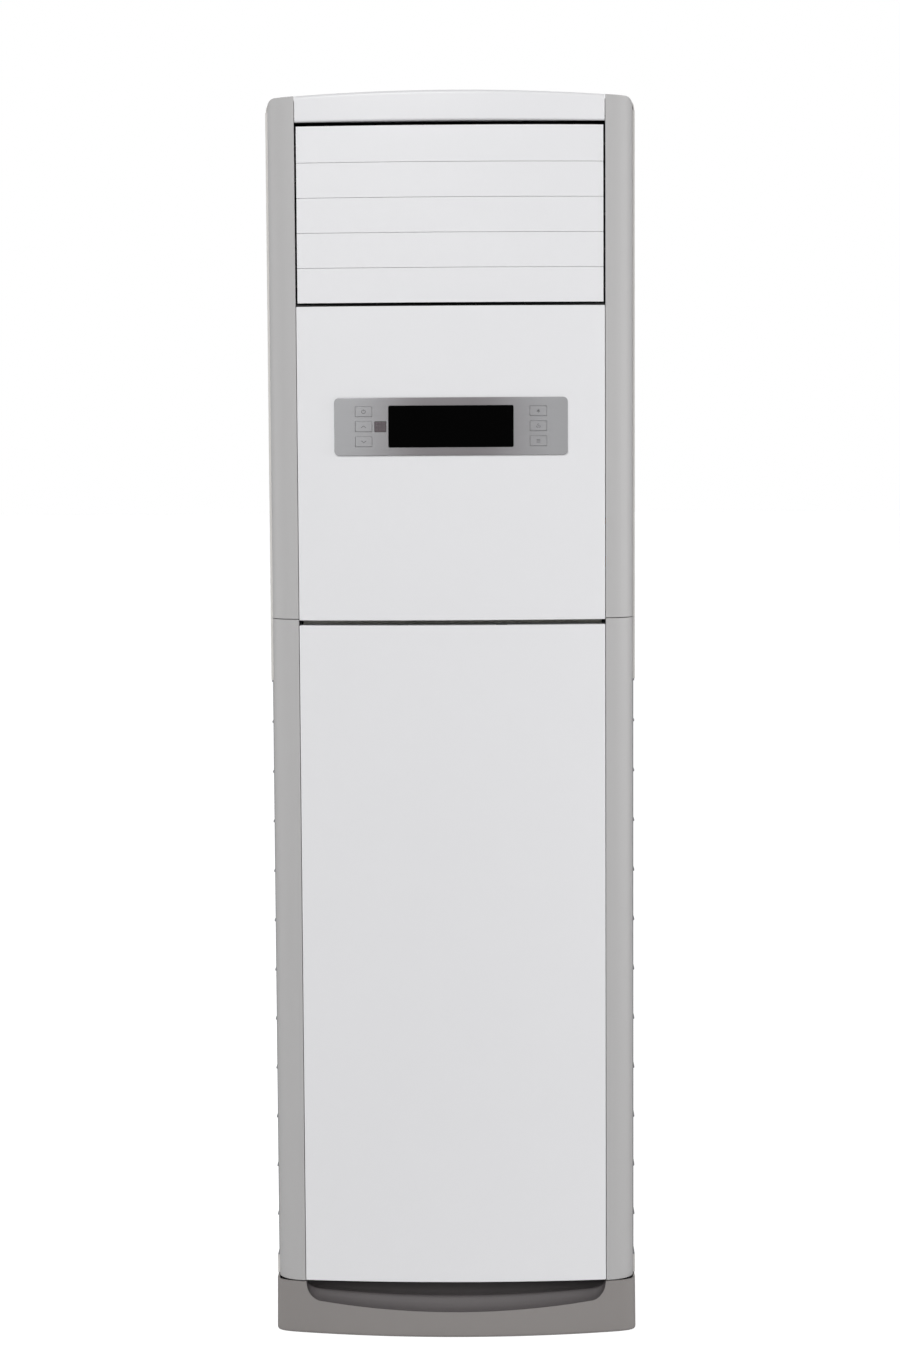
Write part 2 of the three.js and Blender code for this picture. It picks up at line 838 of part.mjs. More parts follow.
function rearBeads(foot, head, y) {
  const beads = [];
  for (const x of [-beadPitch, 0, beadPitch]) {
    beads.push(box(x - beadWidth / 2, x + beadWidth / 2, y - beadDepth, y + 0.2, foot, head));
  }
  return beads;
}

function rearPanel() {
  const half = halfWidth - 1;
  const foot = servicePanelTop + 1.5;
  const sheet = box(-half, half, rearFace - steel, rearFace, foot, sideTop);
  const lip = box(-half + 18, half - 18, rearFace - 14, rearFace - 0.5, foot, foot + steel);
  return join(sheet, lip, ...rearBeads(foot + beadFoot, sideTop - beadHead, rearFace - steel));
}

function servicePanel() {
  const half = halfWidth - 1;
  const sheet = box(-half, half, rearFace - steel, rearFace, 3, servicePanelTop);
  const middle = (gasPipeFoot + liquidPipeFoot) / 2;
  const pipeHole = roundRect(pipeHoleWidth, pipeHoleHeight, 10, pipeX - 4, middle);
  const hole = prismY(pipeHole, rearFace - 20, backMost, 4);
  const drainHole = rodY(-pipeX, drainOutletHeight, drainRadius + 2 * fit, rearFace - 20, backMost, 12);
  const tongue = box(
    -half + 20, half - 20,
    rearFace - 2 * steel - fit - 14, rearFace - steel + 0.2,
    servicePanelTop - 24, servicePanelTop - 24 + steel,
  );
  return cut(join(sheet, tongue), hole, drainHole);
}

function topCover() {
  const foot = sideTop + 1;
  const rear = rearFace;
  const outer = prismY(crownOutline(halfWidth, 0, foot, topCornerRadius), topCoverFront, rear);
  const inset = topCoverWall;
  const inner = prismY(
    crownOutline(halfWidth - inset, inset, foot - 5, topCornerRadius - inset),
    topCoverFront - 5, rear - inset,
  );
  const tabHalf = sideInner - fit;
  const tab = (x) => box(x - 1.5, x + 1.5, topCoverFront + 40, rear - 40, foot - 14, foot + 12);
  const ribs = [];
  for (const x of [-1, 1]) {
    const edge = x * (tabHalf - 1.5);
    ribs.push(tab(edge));
    ribs.push(box(
      Math.min(edge, x * (halfWidth - 1)), Math.max(edge, x * (halfWidth - 1)),
      topCoverFront + 40, rear - 40, foot, foot + 3,
    ));
  }
  return join(cut(outer, inner), ...ribs);
}

function frontCap() {
  const rear = topCoverFront - fit;
  const half = panelHalf;
  const ring = (inset, z) => {
    const points = [];
    for (let i = 0; i <= arcSteps; i += 1) {
      const x = -half + (2 * half * i) / arcSteps;
      points.push([x, bulgeY(x) + inset]);
    }
    const back = points.map(([x]) => [x, rear]).reverse();
    return points.concat(back).map(([x, y]) => [x, y, z(x)]);
  };
  const edge = 5;
  const outer = loft([
    ring(2.4, () => capBottom),
    ring(0.7, () => capBottom + 0.9),
    ring(0, () => capBottom + 2.6),
    ring(0, (x) => crownZ(x) - edge),
    ring(edge * 0.3, (x) => crownZ(x) - edge * 0.3),
    ring(edge, (x) => crownZ(x)),
  ]);
  const inner = prismY(
    crownOutline(half - wall, wall, capBottom + wall, 1),
    bulgeY(half) + wall, rear + 5,
  );
  const lipBack = bulgeY(half) + 6;
  const open = box(-half - 1, half + 1, lipBack, rear + 5, capBottom - 1, capBottom + 14);
  return cut(outer, inner, open);
}

// ---------- front panels ----------

function frontShell(bottom, top, edgeDepth) {
  const skin = prismZ(frontBand(panelHalf, 0, wall), bottom, top, arcSteps);
  const rim = prismZ(frontBand(panelHalf, 0.5, edgeDepth), bottom, top, arcSteps);
  const inside = frontBand(panelHalf - wall, -1, edgeDepth + 1);
  const hollow = prismZ(inside, bottom + wall, top - wall, arcSteps);
  return join(skin, cut(rim, hollow));
}

function doorPivot() {
  return { y: panelFront + doorPivotDepth, z: doorTop - doorPivotDrop };
}

function door() {
  const shell = frontShell(doorBottom, doorTop, 14);
  const pivot = doorPivot();
  const lugs = [];
  const holes = [];
  for (const side of [-1, 1]) {
    const x0 = side * (hingeOffset + 5);
    const faces = [x0 - 2, x0 + 2];
    const outline = new THREE.Shape();
    outline.moveTo(panelFront + 2.4, pivot.z - 16);
    outline.lineTo(panelFront + 2.4, pivot.z + 8);
    outline.lineTo(pivot.y, pivot.z + 7);
    outline.absarc(pivot.y, pivot.z, 7, Math.PI / 2, -Math.PI / 3, true);
    lugs.push(prismX(outline, faces[0], faces[1], 8));
    holes.push(rodX(pivot.y, pivot.z, hingePinRadius + pinPlay, faces[0] - 1, faces[1] + 1));
    const notch = side * hingeOffset;
    holes.push(box(
      notch - 8, notch + 8,
      panelFront + wall + 0.4, panelFront + 20,
      doorTop - wall - 1, doorTop + 1,
    ));
  }
  const ribs = [];
  const ribCount = 3;
  for (let i = 1; i <= ribCount; i += 1) {
    const z = doorBottom + ((doorTop - doorBottom) * i) / (ribCount + 1);
    ribs.push(prismZ(frontBand(panelHalf - 1, wall - 0.5, wall + 5), z - 1, z + 1, arcSteps));
  }
  return cut(join(shell, ...lugs, ...ribs), ...holes);
}

function upperPanel() {
  const shell = frontShell(upperPanelBottom, upperPanelTop, 14);
  const bodyWidth = bezelWidth - 2 * bezelBorder + 2 * fit;
  const bodyHeight = bezelHeight - 2 * bezelBorder + 2 * fit;
  const window = prismY(roundRect(bodyWidth, bodyHeight, 3, 0, bezelZ()), frontMost, panelFront + 40);
  const ribs = [];
  for (const z of [upperPanelBottom + upperRibFoot, upperPanelTop - upperRibHead]) {
    ribs.push(prismZ(frontBand(panelHalf - 1, wall - 0.5, wall + 5), z - 1, z + 1, arcSteps));
  }
  return cut(join(shell, ...ribs), window);
}

// ---------- control panel ----------

function bezelZ() {
  return upperPanelTop - bezelDrop;
}

function buttonPlaces() {
  const rows = [buttonPitch, 0, -buttonPitch];
  const left = rows.map((dz) => [-buttonColumn, bezelZ() + dz]);
  const right = rows.map((dz) => [buttonColumn, bezelZ() + dz]);
  return { left, right };
}

function bezel() {
  const z = bezelZ();
  const face = roundRect(bezelWidth, bezelHeight, bezelCorner, 0, z);
  const flange = curvedPlate(face, -bezelProud, -fit, 4);
  const bodyShape = roundRect(bezelWidth - 2 * bezelBorder, bezelHeight - 2 * bezelBorder, 3, 0, z);
  const back = bezelBody - bezelProud;
  const body = curvedPlate(bodyShape, -1, back);
  const holes = [];
  const ledge = 3;
  const lens = roundRect(displayWidth + 2 * fit, displayHeight + 2 * fit, displayCorner, 0, z);
  holes.push(curvedPlate(lens, -bezelProud - 1, 0.8));
  const lensBack = roundRect(displayWidth - 2 * ledge, displayHeight - 2 * ledge, 1, 0, z);
  holes.push(curvedPlate(lensBack, -bezelProud - 1, back + 1, 1));
  const eye = roundRect(receiverWidth + 2 * fit, receiverHeight + 2 * fit, 1, -receiverOffset, z);
  holes.push(curvedPlate(eye, -bezelProud - 1, 0.8));
  const eyeBack = roundRect(receiverWidth - 3, receiverHeight - 3, 1, -receiverOffset, z);
  holes.push(curvedPlate(eyeBack, -bezelProud - 1, back + 1, 1));
  const { left, right } = buttonPlaces();
  for (const [x, zb] of [...left, ...right]) {
    const shape = roundRect(buttonWidth, buttonHeight, 1, x, zb);
    holes.push(curvedPlate(shape, -bezelProud - 1, back + 1));
  }
  return cut(join(flange, body), ...holes);
}

function displayLens() {
  const shape = roundRect(displayWidth, displayHeight, displayCorner, 0, bezelZ());
  return curvedPlate(shape, -bezelProud + 0.2, 0.4);
}

function receiverWindow() {
  const shape = roundRect(receiverWidth, receiverHeight, 1, -receiverOffset, bezelZ());
  return curvedPlate(shape, -bezelProud + 0.1, 0.4);
}

function button([x, z]) {
  const cap = roundRect(buttonWidth - 2 * fit, buttonHeight - 2 * fit, 1, x, z);
  const collar = roundRect(buttonWidth + 2.4, buttonHeight + 2.4, 1, x, z);
  const back = bezelBody - bezelProud + fit;
  return join(curvedPlate(cap, -bezelProud - 0.2, back + 0.2), curvedPlate(collar, back, back + 1, 1));
}

function displayBoard() {
  const z = bezelZ();
  const front = panelY(buttonColumn) + bezelBody - bezelProud + fit + 3.2;
  const halfBoard = bezelWidth / 2 - boardInset;
  const rise = boardHeight / 2;
  const rear = front + boardDepth;
  const housing = box(-halfBoard, halfBoard, front, rear, z - rise, z + rise);
  const hollow = box(-halfBoard + 2, halfBoard - 2, front + 3.6, rear + 1, z - rise + 2, z + rise - 2);
  const parts = [];
  const { left, right } = buttonPlaces();
  for (const [x, zb] of [...left, ...right]) {
    const near = panelY(x) + bezelBody - bezelProud + fit + 1 + buttonTravel + plungerGap;
    parts.push(rodY(x, zb, 2.2, near, front + 1, 6));
  }
  const ears = [];
  for (const side of [-1, 1]) {
    const reach = panelY(panelHalf - 40) + wall + fit;
    const x = side * (halfBoard + 8);
    ears.push(box(x - 10, x + 10, front + 6, front + 9, z - 20, z + 20));
    ears.push(rodY(side * (halfBoard + 12), z, 3.5, reach + 1.5, front + 7, 6));
  }
  return join(cut(housing, hollow), ...parts, ...ears);
}

// ---------- outlet ----------

const bladePivotY = columnFront + bladeSetback;
const bladeHalf = columnInner - bladeEndGap;
const ductInner = columnInner + fit;
const ductOuter = ductInner + duct;
const ductFront = columnFront + wall + 2 * fit;
const ductCeiling = capBottom + 3.5;
const ductFloor = upperPanelTop + fit + duct;
const ductFloorBack = panelFront + vanePivotDepth + vaneChord / 2 + 8;
const ductBack = rearFace - 12;

const bladePivotZ = (index) => bladeFoot + bladePitch * (bladeCount - index + 0.5);
const vaneX = (index) => (index - (vaneCount + 1) / 2) * vanePitch;
const vanePivotY = panelFront + vanePivotDepth;

// The duct's boundary in (y, z), grown by a wall, from its mouth down to a foot
function ductOutline(grow, mouth, foot) {
  const shape = new THREE.Shape();
  const floorBack = ductFloorBack + duct - grow;
  shape.moveTo(mouth, ductFloor - grow);
  shape.lineTo(mouth, ductCeiling + grow);
  shape.lineTo(ductBack - ductBend, ductCeiling + grow);
  shape.absarc(ductBack - ductBend, ductCeiling - ductBend, ductBend + grow, Math.PI / 2, 0, true);
  shape.lineTo(ductBack + grow, foot);
  shape.lineTo(floorBack, foot);
  shape.lineTo(floorBack, ductFloor - grow);
  return shape;
}

function outletDuct() {
  const foot = ductFloor - ductSkirt;
  const outer = prismX(ductOutline(duct, ductFront, foot), -ductOuter, ductOuter, 8);
  const inner = prismX(ductOutline(0, ductFront - 5, foot - 5), -ductInner, ductInner, 8);
  const holes = [];
  for (let i = 1; i <= bladeCount; i += 1) {
    const z = bladePivotZ(i);
    holes.push(rodX(bladePivotY, z, bladePinRadius + pinPlay, -ductOuter - 1, -ductInner + 1, 8));
    holes.push(rodX(bladePivotY, z, bladePinRadius + pinPlay, ductInner - 1, ductOuter + 1, 8));
  }
  for (let i = 1; i <= vaneCount; i += 1) {
    const radius = vanePinRadius + pinPlay;
    holes.push(rodZ(vaneX(i), vanePivotY, radius, ductCeiling - 1, ductCeiling + duct + 1, 8));
    holes.push(rodZ(vaneX(i), vanePivotY, radius, ductFloor - duct - 1, ductFloor + 1, 8));
  }
  return cut(outer, inner, ...holes);
}

function louver(index) {
  const z = bladePivotZ(index);
  const foot = z - bladePitch / 2 + bladeSeam / 2;
  const head = z + bladePitch / 2 - bladeSeam / 2;
  const blade = prismZ(frontBand(bladeHalf, 0, bladeThickness), foot, head, arcSteps);
  const pieces = [blade];
  if (index > 1) {
    pieces.push(...louverLip(head));
  }
  for (const side of [-1, 1]) {
    const inner = side * (bladeHalf - bladeCheek);
    const outer = side * bladeHalf;
    const outline = new THREE.Shape();
    const face = panelY(bladeHalf) + bladeThickness - 0.8;
    outline.moveTo(face, z + 15);
    outline.lineTo(face, z - 15);
    outline.lineTo(bladePivotY, z - 5);
    outline.absarc(bladePivotY, z, 5, -Math.PI / 2, Math.PI / 2, false);
    pieces.push(prismX(outline, Math.min(inner, outer), Math.max(inner, outer), 2));
    const reach = side > 0 ? ductOuter + 0.6 + crankThickness : ductOuter + 1;
    const from = Math.min(side * (bladeHalf - 0.5), side * reach);
    const to = Math.max(side * (bladeHalf - 0.5), side * reach);
    pieces.push(rodX(bladePivotY, z, bladePinRadius, from, to));
  }
  return join(...pieces, louverCrank(index));
}

// Lip that closes the seam to the blade above, from behind
function louverLip(head) {
  const half = bladeHalf - bladeCheek - 2;
  const near = bladeThickness + fit;
  const far = near + lipThickness;
  const root = prismZ(frontBand(half, bladeThickness - 0.2, far), head - lipReach, head - 0.5, arcSteps);
  const strip = prismZ(frontBand(half, near, far), head - 1, head + lipReach, arcSteps);
  return [root, strip];
}

// Crank on the blade's right-hand pin, outside the duct's wall
function louverCrank(index) {
  const z = bladePivotZ(index);
  const x0 = ductOuter + 0.6;
  const x1 = x0 + crankThickness;
  const eyeY = bladePivotY + crankLength;
  const hub = rodX(bladePivotY, z, crankHubRadius, x0, x1, 6);
  const eye = rodX(eyeY, z, crankEyeRadius, x0, x1, 6);
  const arm = box(x0, x1, bladePivotY, eyeY, z - 2.8, z + 2.8);
  const hole = rodX(eyeY, z, linkPinRadius + pinPlay, x0 - 1, x1 + 1, 8);
  return cut(join(hub, eye, arm), hole);
}

function louverLink() {
  const x0 = ductOuter + 0.6 + crankThickness + fit;
  const x1 = x0 + linkThickness;
  const y = bladePivotY + crankLength;
  const bottom = bladePivotZ(bladeCount);
  const top = bladePivotZ(1);
  const bar = box(x0, x1, y - linkHalfWidth, y + linkHalfWidth, bottom, top);
  const pieces = [bar, rodX(y, bottom, linkHalfWidth, x0, x1), rodX(y, top, linkHalfWidth, x0, x1)];
  for (let i = 1; i <= bladeCount; i += 1) {
    const z = bladePivotZ(i);
    pieces.push(rodX(y, z, linkPinRadius, x0 - crankThickness - fit, x0 + 0.5, 8));
  }
  return join(...pieces);
}

function louverMotor() {
  const z = bladePivotZ(Math.ceil(bladeCount / 2));
  const y = bladePivotY + louverMotorOffset;
  const near = -ductOuter - fit;
  const far = near - louverMotorLength;
  const can = rodX(y, z, louverMotorRadius, far, near, 16);
  const ears = box(near - 1.5, near, y - 3.5, y + 3.5, z - 16, z + 16);
  const socket = rodX(bladePivotY, z, bladePinRadius + pinPlay, near - 2, near + 1);
  const leads = box(far + 3, near - 3, y + 5, y + louverMotorRadius + 3, z - 4, z + 4);
  return cut(join(can, ears, leads), socket);
}

function vane(index) {
  const x = vaneX(index);
  const front = vanePivotY - vaneChord / 2;
  const back = vanePivotY + vaneChord / 2;
  const foot = ductFloor + vaneEndGap;
  const head = ductCeiling - vaneEndGap;
  const half = vaneThickness / 2;
  const section = new THREE.Shape();
  section.moveTo(x - half, front + half);
  section.absarc(x, front + half, half, Math.PI, 2 * Math.PI, false);
  section.lineTo(x + half * 0.6, back);
  section.lineTo(x - half * 0.6, back);
  const plate = prismZ(section, foot, head, 3);
  const barY = back - vaneBarInset;
  const barZ = (foot + head) / 2;
  const notch = box(
    x - 3, x + 3,
    back - 2 * vaneBarInset, back + 1,
    barZ - vaneNotchHeight / 2, barZ + vaneNotchHeight / 2,
  );
  const lowPin = rodZ(x, vanePivotY, vanePinRadius, ductFloor - duct, foot + 6, 6);
  const highPin = rodZ(x, vanePivotY, vanePinRadius, head - 6, ductCeiling + duct, 6);
  const pinReach = vaneNotchHeight / 2 + 1;
  const barPin = rodZ(x, barY, vaneBarPinRadius, barZ - pinReach, barZ + pinReach, 6);
  return join(cut(plate, notch), lowPin, highPin, barPin);
}

function vaneLink() {
  const y = vanePivotY + vaneChord / 2 - vaneBarInset;
  const z = (ductFloor + ductCeiling) / 2;
  const half = vaneBarThickness / 2;
  const first = vaneX(1);
  const last = vaneX(vaneCount);
  const end = 2 * vaneBarHalfWidth;
  const bar = box(first - end, last + end, y - vaneBarHalfWidth, y + vaneBarHalfWidth, z - half, z + half);
  const holes = [];
  for (let i = 1; i <= vaneCount; i += 1) {
    holes.push(rodZ(vaneX(i), y, vaneBarPinRadius + pinPlay, z - half - 1, z + half + 1, 8));
  }
  return cut(bar, ...holes);
}

function vaneMotor() {
  const x = vaneX(vaneCount - 1);
  const foot = ductCeiling + duct + fit;
  const can = rodZ(x, vanePivotY + 7, vaneMotorRadius, foot, foot + vaneMotorLength, 16);
  const ears = box(x - 19, x + 19, vanePivotY + 3.5, vanePivotY + 10.5, foot, foot + 1.5);
  const socket = rodZ(x, vanePivotY, vanePinRadius + pinPlay, foot - 1, foot + 3);
  return cut(join(can, ears), socket);
}

// ---------- deck, drain pan and coil ----------

const coilHalf = columnInner - coilEndRoom;

function deck() {
  const half = sideInner - fit;
  const rear = rearFace - 2 * steel - 3 * fit - 2;
  const sheet = box(-half, half, deckFront, rear, deckBottom, deckTop);
  const foot = deckTop - deckFlange;
  const flange = box(-columnInner + 4, columnInner - 4, deckFront, deckFront + steel, foot, deckTop);
  const backFlange = box(-half + 20, half - 20, rear - steel, rear, foot, deckTop);
  const pivot = doorPivot();
  const arms = [];
  for (const side of [-1, 1]) {
    const x = side * hingeOffset;
    const outline = new THREE.Shape();
    outline.moveTo(deckFront + 1, pivot.z - 14);
    outline.lineTo(deckFront + 1, pivot.z + 5);
    outline.lineTo(pivot.y, pivot.z + 5);
    outline.absarc(pivot.y, pivot.z, 5, Math.PI / 2, 1.5 * Math.PI, false);
    arms.push(prismX(outline, x - 1.5, x + 1.5, 8));
    const pinFrom = side > 0 ? x : x - 9.5;
    arms.push(rodX(pivot.y, pivot.z, hingePinRadius, pinFrom, pinFrom + 9.5));
  }
  const port = scrollPort();
  const hole = box(port.left, port.right, port.front, port.back, deckBottom - 1, deckTop + 1);
  const columnClear = [];
  for (const side of [-1, 1]) {
    const x0 = side > 0 ? columnInner - 2 : -half - 1;
    const x1 = side > 0 ? half + 1 : -columnInner + 2;
    columnClear.push(box(x0, x1, deckFront - 1, columnBack + fit, deckBottom - 1, deckTop + 1));
  }
  const around = (x, y, radius) => rodZ(x, y, radius, deckBottom - 1, deckTop + 1, 12);
  const solid = join(cut(sheet, hole, ...columnClear), flange, backFlange, ...arms);
  return cut(
    solid,
    around(pipeX, gasPipeY, gasPipeRadius + 2 * fit),
    around(pipeX, liquidPipeY, liquidPipeRadius + 2 * fit),
    around(-drainX(), drainY(), drainRadius + 2 * fit),
  );
}

function drainX() {
  return columnInner - 17;
}

function drainY() {
  return deckFront + 45;
}

function drainPan() {
  const half = columnInner - 5;
  const foot = deckTop + fit;
  const front = deckFront + 2;
  const back = front + panDepth;
  const body = box(-half, half, front, back, foot, foot + panHeight);
  const hollow = box(-half + 3, half - 3, front + 3, back - 3, foot + 4, foot + panHeight + 1);
  const outlet = drainRadius - drainWall - 2 * fit;
  const spigot = rodZ(-drainX(), drainY(), outlet, foot - 26, foot + 1);
  const bore = rodZ(-drainX(), drainY(), outlet - 1.6, foot - 27, foot + 6);
  return cut(join(cut(body, hollow), spigot), bore);
}

// The hose runs down beside the filter and out through the rear service panel
function drainHose() {
  const y = drainY();
  const top = deckTop;
  const outer = tube(
    [
      [-drainX(), y, top],
      [-drainX(), y, top - drainDrop],
      [-pipeX, y, top - drainDrop - drainSlant],
      [-pipeX, y, drainOutletHeight + drainFall],
      [-pipeX, drainEnd - drainRun, drainOutletHeight],
      [-pipeX, drainEnd, drainOutletHeight],
    ],
    drainRadius, drainHoseBend,
  );
  const bore = rodZ(-drainX(), y, drainRadius - drainWall, top - 32, top + 1);
  return cut(outer, bore);
}

// The coil leans back out of the drain pan
function coilMatrix() {
  const panFloor = deckTop + fit + 4;
  const lean = THREE.MathUtils.degToRad(coilLean);
  const sunk = (coilThickness + 2) * Math.sin(lean);
  const matrix = new THREE.Matrix4().makeRotationX(-lean);
  return matrix.setPosition(0, deckFront + 9, panFloor + sunk + 1.4);
}

function coilPlace(solid) {
  const geometry = geometryOf(solid);
  geometry.applyMatrix4(coilMatrix());
  return solidOf(geometry);
}

function coil() {
  const block = box(-coilHalf, coilHalf, 0, coilThickness, 0, coilLength);
  const parts = [block];
  for (const side of [-1, 1]) {
    const x = side * coilHalf;
    const far = side * (coilHalf + coilCheek);
    parts.push(box(Math.min(x, far), Math.max(x, far), -2, coilThickness + 2, -1, coilLength + 4));
    for (let i = 0; i < hairpinCount; i += 1) {
      const z = 44 + i * hairpinPitch;
      parts.push(hairpin(z, side, x));
    }
  }
  return coilPlace(join(...parts));
}

// Return bend that joins two tube rows at the end of the coil
function hairpin(z, side, x) {
  const near = coilThickness * 0.27;
  const far = coilThickness * 0.73;
  const from = x - side;
  const to = x + side * coilBend;
  const corners = [[from, near, z], [to, near, z], [to, far, z], [from, far, z]];
  return tube(corners, coilTubeRadius, coilBend - 2, 1, 6);
}

// ---------- blower ----------

const scrollFront = panelFront + filterDepth + filterRoom;
const scrollBack = scrollFront + scrollWidth;
const wheelFront = scrollFront + scrollWall + wheelGap;
const scrollTurn = THREE.MathUtils.degToRad(360 - scrollTongue);
const scrollStart = pipeX - gasPipeRadius - scrollRoom - scrollWall - scrollGrowth * scrollTurn;
const wheelRadius = scrollStart - tongueGap;
const wheelInnerRadius = wheelRadius - wheelBladeDepth;
const inletRadius = wheelInnerRadius - inletOverlap;

function scrollRadius(degrees) {
  return scrollStart + scrollGrowth * THREE.MathUtils.degToRad(degrees - scrollTongue);
}

function scrollOutline(grow, top) {
  const points = [];
  const steps = 14;
  for (let i = 0; i <= steps; i += 1) {
    const degrees = scrollTongue + ((360 - scrollTongue) * i) / steps;
    const angle = THREE.MathUtils.degToRad(degrees);
    const radius = scrollRadius(degrees) + grow;
    points.push([radius * Math.cos(angle), blowerHeight + radius * Math.sin(angle)]);
  }
  points.push([scrollRadius(360) + grow, top]);
  points.push([tongueX() - scrollFlare - grow, top]);
  return points;
}

function tongueX() {
  return scrollStart * Math.cos(THREE.MathUtils.degToRad(scrollTongue));
}

function scrollPort() {
  return {
    left: tongueX() - scrollFlare + 4,
    right: scrollRadius(360) - 2,
    front: scrollFront + scrollWall + 2,
    back: scrollBack - 2,
  };
}

function scrollHousing() {
  const top = deckBottom - fit;
  const outer = prismY(scrollOutline(scrollWall, top), scrollFront, scrollBack);
  const inner = prismY(scrollOutline(0, top + 20), scrollFront + scrollWall, scrollBack + 1);
  const lip = inletLip;
  const mouthBack = scrollFront + scrollWall + 1;
  const mouth = rodY(0, blowerHeight, inletRadius + lip - 1, scrollFront - 1, mouthBack, wheelBladeCount);
  const profile = [];
  const steps = 2;
  const thickness = scrollWall;
  for (let i = 0; i <= steps; i += 1) {
    const angle = (Math.PI / 2) * (i / steps);
    const radius = inletRadius + lip - lip * Math.sin(angle);
    profile.push([radius, scrollFront + lip - lip * Math.cos(angle)]);
  }
  for (let i = steps; i >= 0; i -= 1) {
    const angle = (Math.PI / 2) * (i / steps);
    const reach = lip - thickness;
    const radius = inletRadius + lip - reach * Math.sin(angle);
    profile.push([radius, scrollFront + lip - reach * Math.cos(angle)]);
  }
  profile.push(profile[0]);
  const bell = revolve(profile, 0, blowerHeight, wheelBladeCount);
  return join(cut(outer, inner, mouth), bell);
}

function scrollPlate() {
  const top = deckBottom - fit;
  const near = scrollBack + fit;
  const plate = prismY(scrollOutline(scrollWall, top), near, near + scrollWall);
  const hole = rodY(0, blowerHeight, motorRadius + 12, near - 1, near + scrollWall + 1, 20);
  return cut(plate, hole);
}

function wheelBlade(index) {
  const outline = [];
  const steps = 2;
  const base = (2 * Math.PI * index) / wheelBladeCount;
  const inner = wheelInnerRadius;
  const outer = wheelRadius - 1;
  const sweep = 0.13;
  const point = (share, offset) => {
    const radius = inner + (outer - inner) * share;
    const angle = base + sweep * share * share + offset / radius;
    return [radius * Math.cos(angle), blowerHeight + radius * Math.sin(angle)];
  };
  for (let i = 0; i <= steps; i += 1) {
    outline.push(point(i / steps, -0.9));
  }
  for (let i = steps; i >= 0; i -= 1) {
    outline.push(point(i / steps, 0.9));
  }
  return prismY(outline, wheelFront + 1, wheelFront + wheelWidth - 1);
}

function blowerWheel() {
  const back = wheelFront + wheelWidth;
  const rim = wheelRim;
  const ring = revolve(
    [
      [wheelInnerRadius + 8, wheelFront],
      [wheelRadius, wheelFront],
      [wheelRadius, wheelFront + rim],
      [wheelInnerRadius + 8, wheelFront + rim],
      [wheelInnerRadius + 8, wheelFront],
    ],
    0, blowerHeight, wheelBladeCount,
  );
  // Back plate with a deep cup, so that the motor sits inside the wheel
  const cup = motorRadius;
  const plate = revolve(
    [
      [shaftRadius + fit, back - cupDepth],
      [cup - 4, back - cupDepth],
      [cup + 22, back - 3],
      [wheelRadius, back - 3],
      [wheelRadius, back],
      [cup + 19.5, back],
      [cup - 6, back - cupDepth + 3],
      [shaftRadius + 10, back - cupDepth + 3],
      [shaftRadius + 10, back - cupDepth + 12],
      [shaftRadius + fit, back - cupDepth + 12],
      [shaftRadius + fit, back - cupDepth],
    ],
    0, blowerHeight, wheelBladeCount,
  );
  const blades = [];
  for (let i = 0; i < wheelBladeCount; i += 1) {
    blades.push(wheelBlade(i));
  }
  return join(plate, ring, ...blades);
}

function fanMotor() {
  const back = scrollBack + 2 * fit + scrollWall;
  const face = wheelFront + wheelWidth - motorOverlap;
  const can = revolve(
    [
      [0, face],
      [motorRadius - 8, face],
      [motorRadius - 6, face + 4],
      [motorRadius - 6, face + motorLength - 4],
      [motorRadius - 10, face + motorLength],
      [0, face + motorLength],
    ],
    0, blowerHeight, wheelBladeCount,
  );
  const shaft = rodY(0, blowerHeight, shaftRadius, wheelFront + wheelWidth - cupDepth - 8, face + 2);
  const spider = [];
  for (let i = 0; i < 3; i += 1) {
    const angle = Math.PI / 2 + (2 * Math.PI * i) / 3;
    const arm = new THREE.BoxGeometry(motorRadius + spiderReach, steel * 2, spiderWidth);
    arm.translate((motorRadius + spiderReach) / 2 + 20, back + steel, 0);
    arm.rotateY(-angle);
    arm.translate(0, 0, blowerHeight);
    spider.push(solidOf(arm));
  }
  const hub = rodY(0, blowerHeight, motorRadius - 14, face + motorLength - 6, back + 2 * steel, 16);
  return join(can, shaft, hub, ...spider);
}

// ---------- filter ----------

const filterFront = panelFront + filterDepth;
const filterBack = filterFront + filterThickness;

function filter() {
  const half = filterWidth / 2;
  const head = filterFoot + filterHeight;
  const frame = box(-half, half, filterFront, filterBack, filterFoot, head);
  const cells = [];
  const border = 10;
  const bar = 3;
  const rows = filterBars + 1;
  const columns = filterBars;
  const cellWidth = (filterWidth - 2 * border - (columns - 1) * bar) / columns;
  const cellHeight = (filterHeight - 2 * border - (rows - 1) * bar) / rows;
  for (let i = 0; i < columns; i += 1) {
    for (let j = 0; j < rows; j += 1) {
      const x = -half + border + i * (cellWidth + bar);
      const z = filterFoot + border + j * (cellHeight + bar);
      cells.push(box(x, x + cellWidth, filterFront - 1, filterBack + 1, z, z + cellHeight));
    }
  }
  const grid = cut(frame, ...cells);
  const net = box(-half + 4, half - 4, filterBack - 4, filterBack - 3.2, filterFoot + 4, head - 4);
  const tabs = [];
  for (const side of [-1, 1]) {
    const x = side * (half - filterTabInset);
    tabs.push(box(
      x - filterTabWidth / 2, x + filterTabWidth / 2,
      filterFront - 12, filterFront + 1,
      filterFoot + 3, filterFoot + 6,
    ));
  }
  return join(grid, net, ...tabs);
}

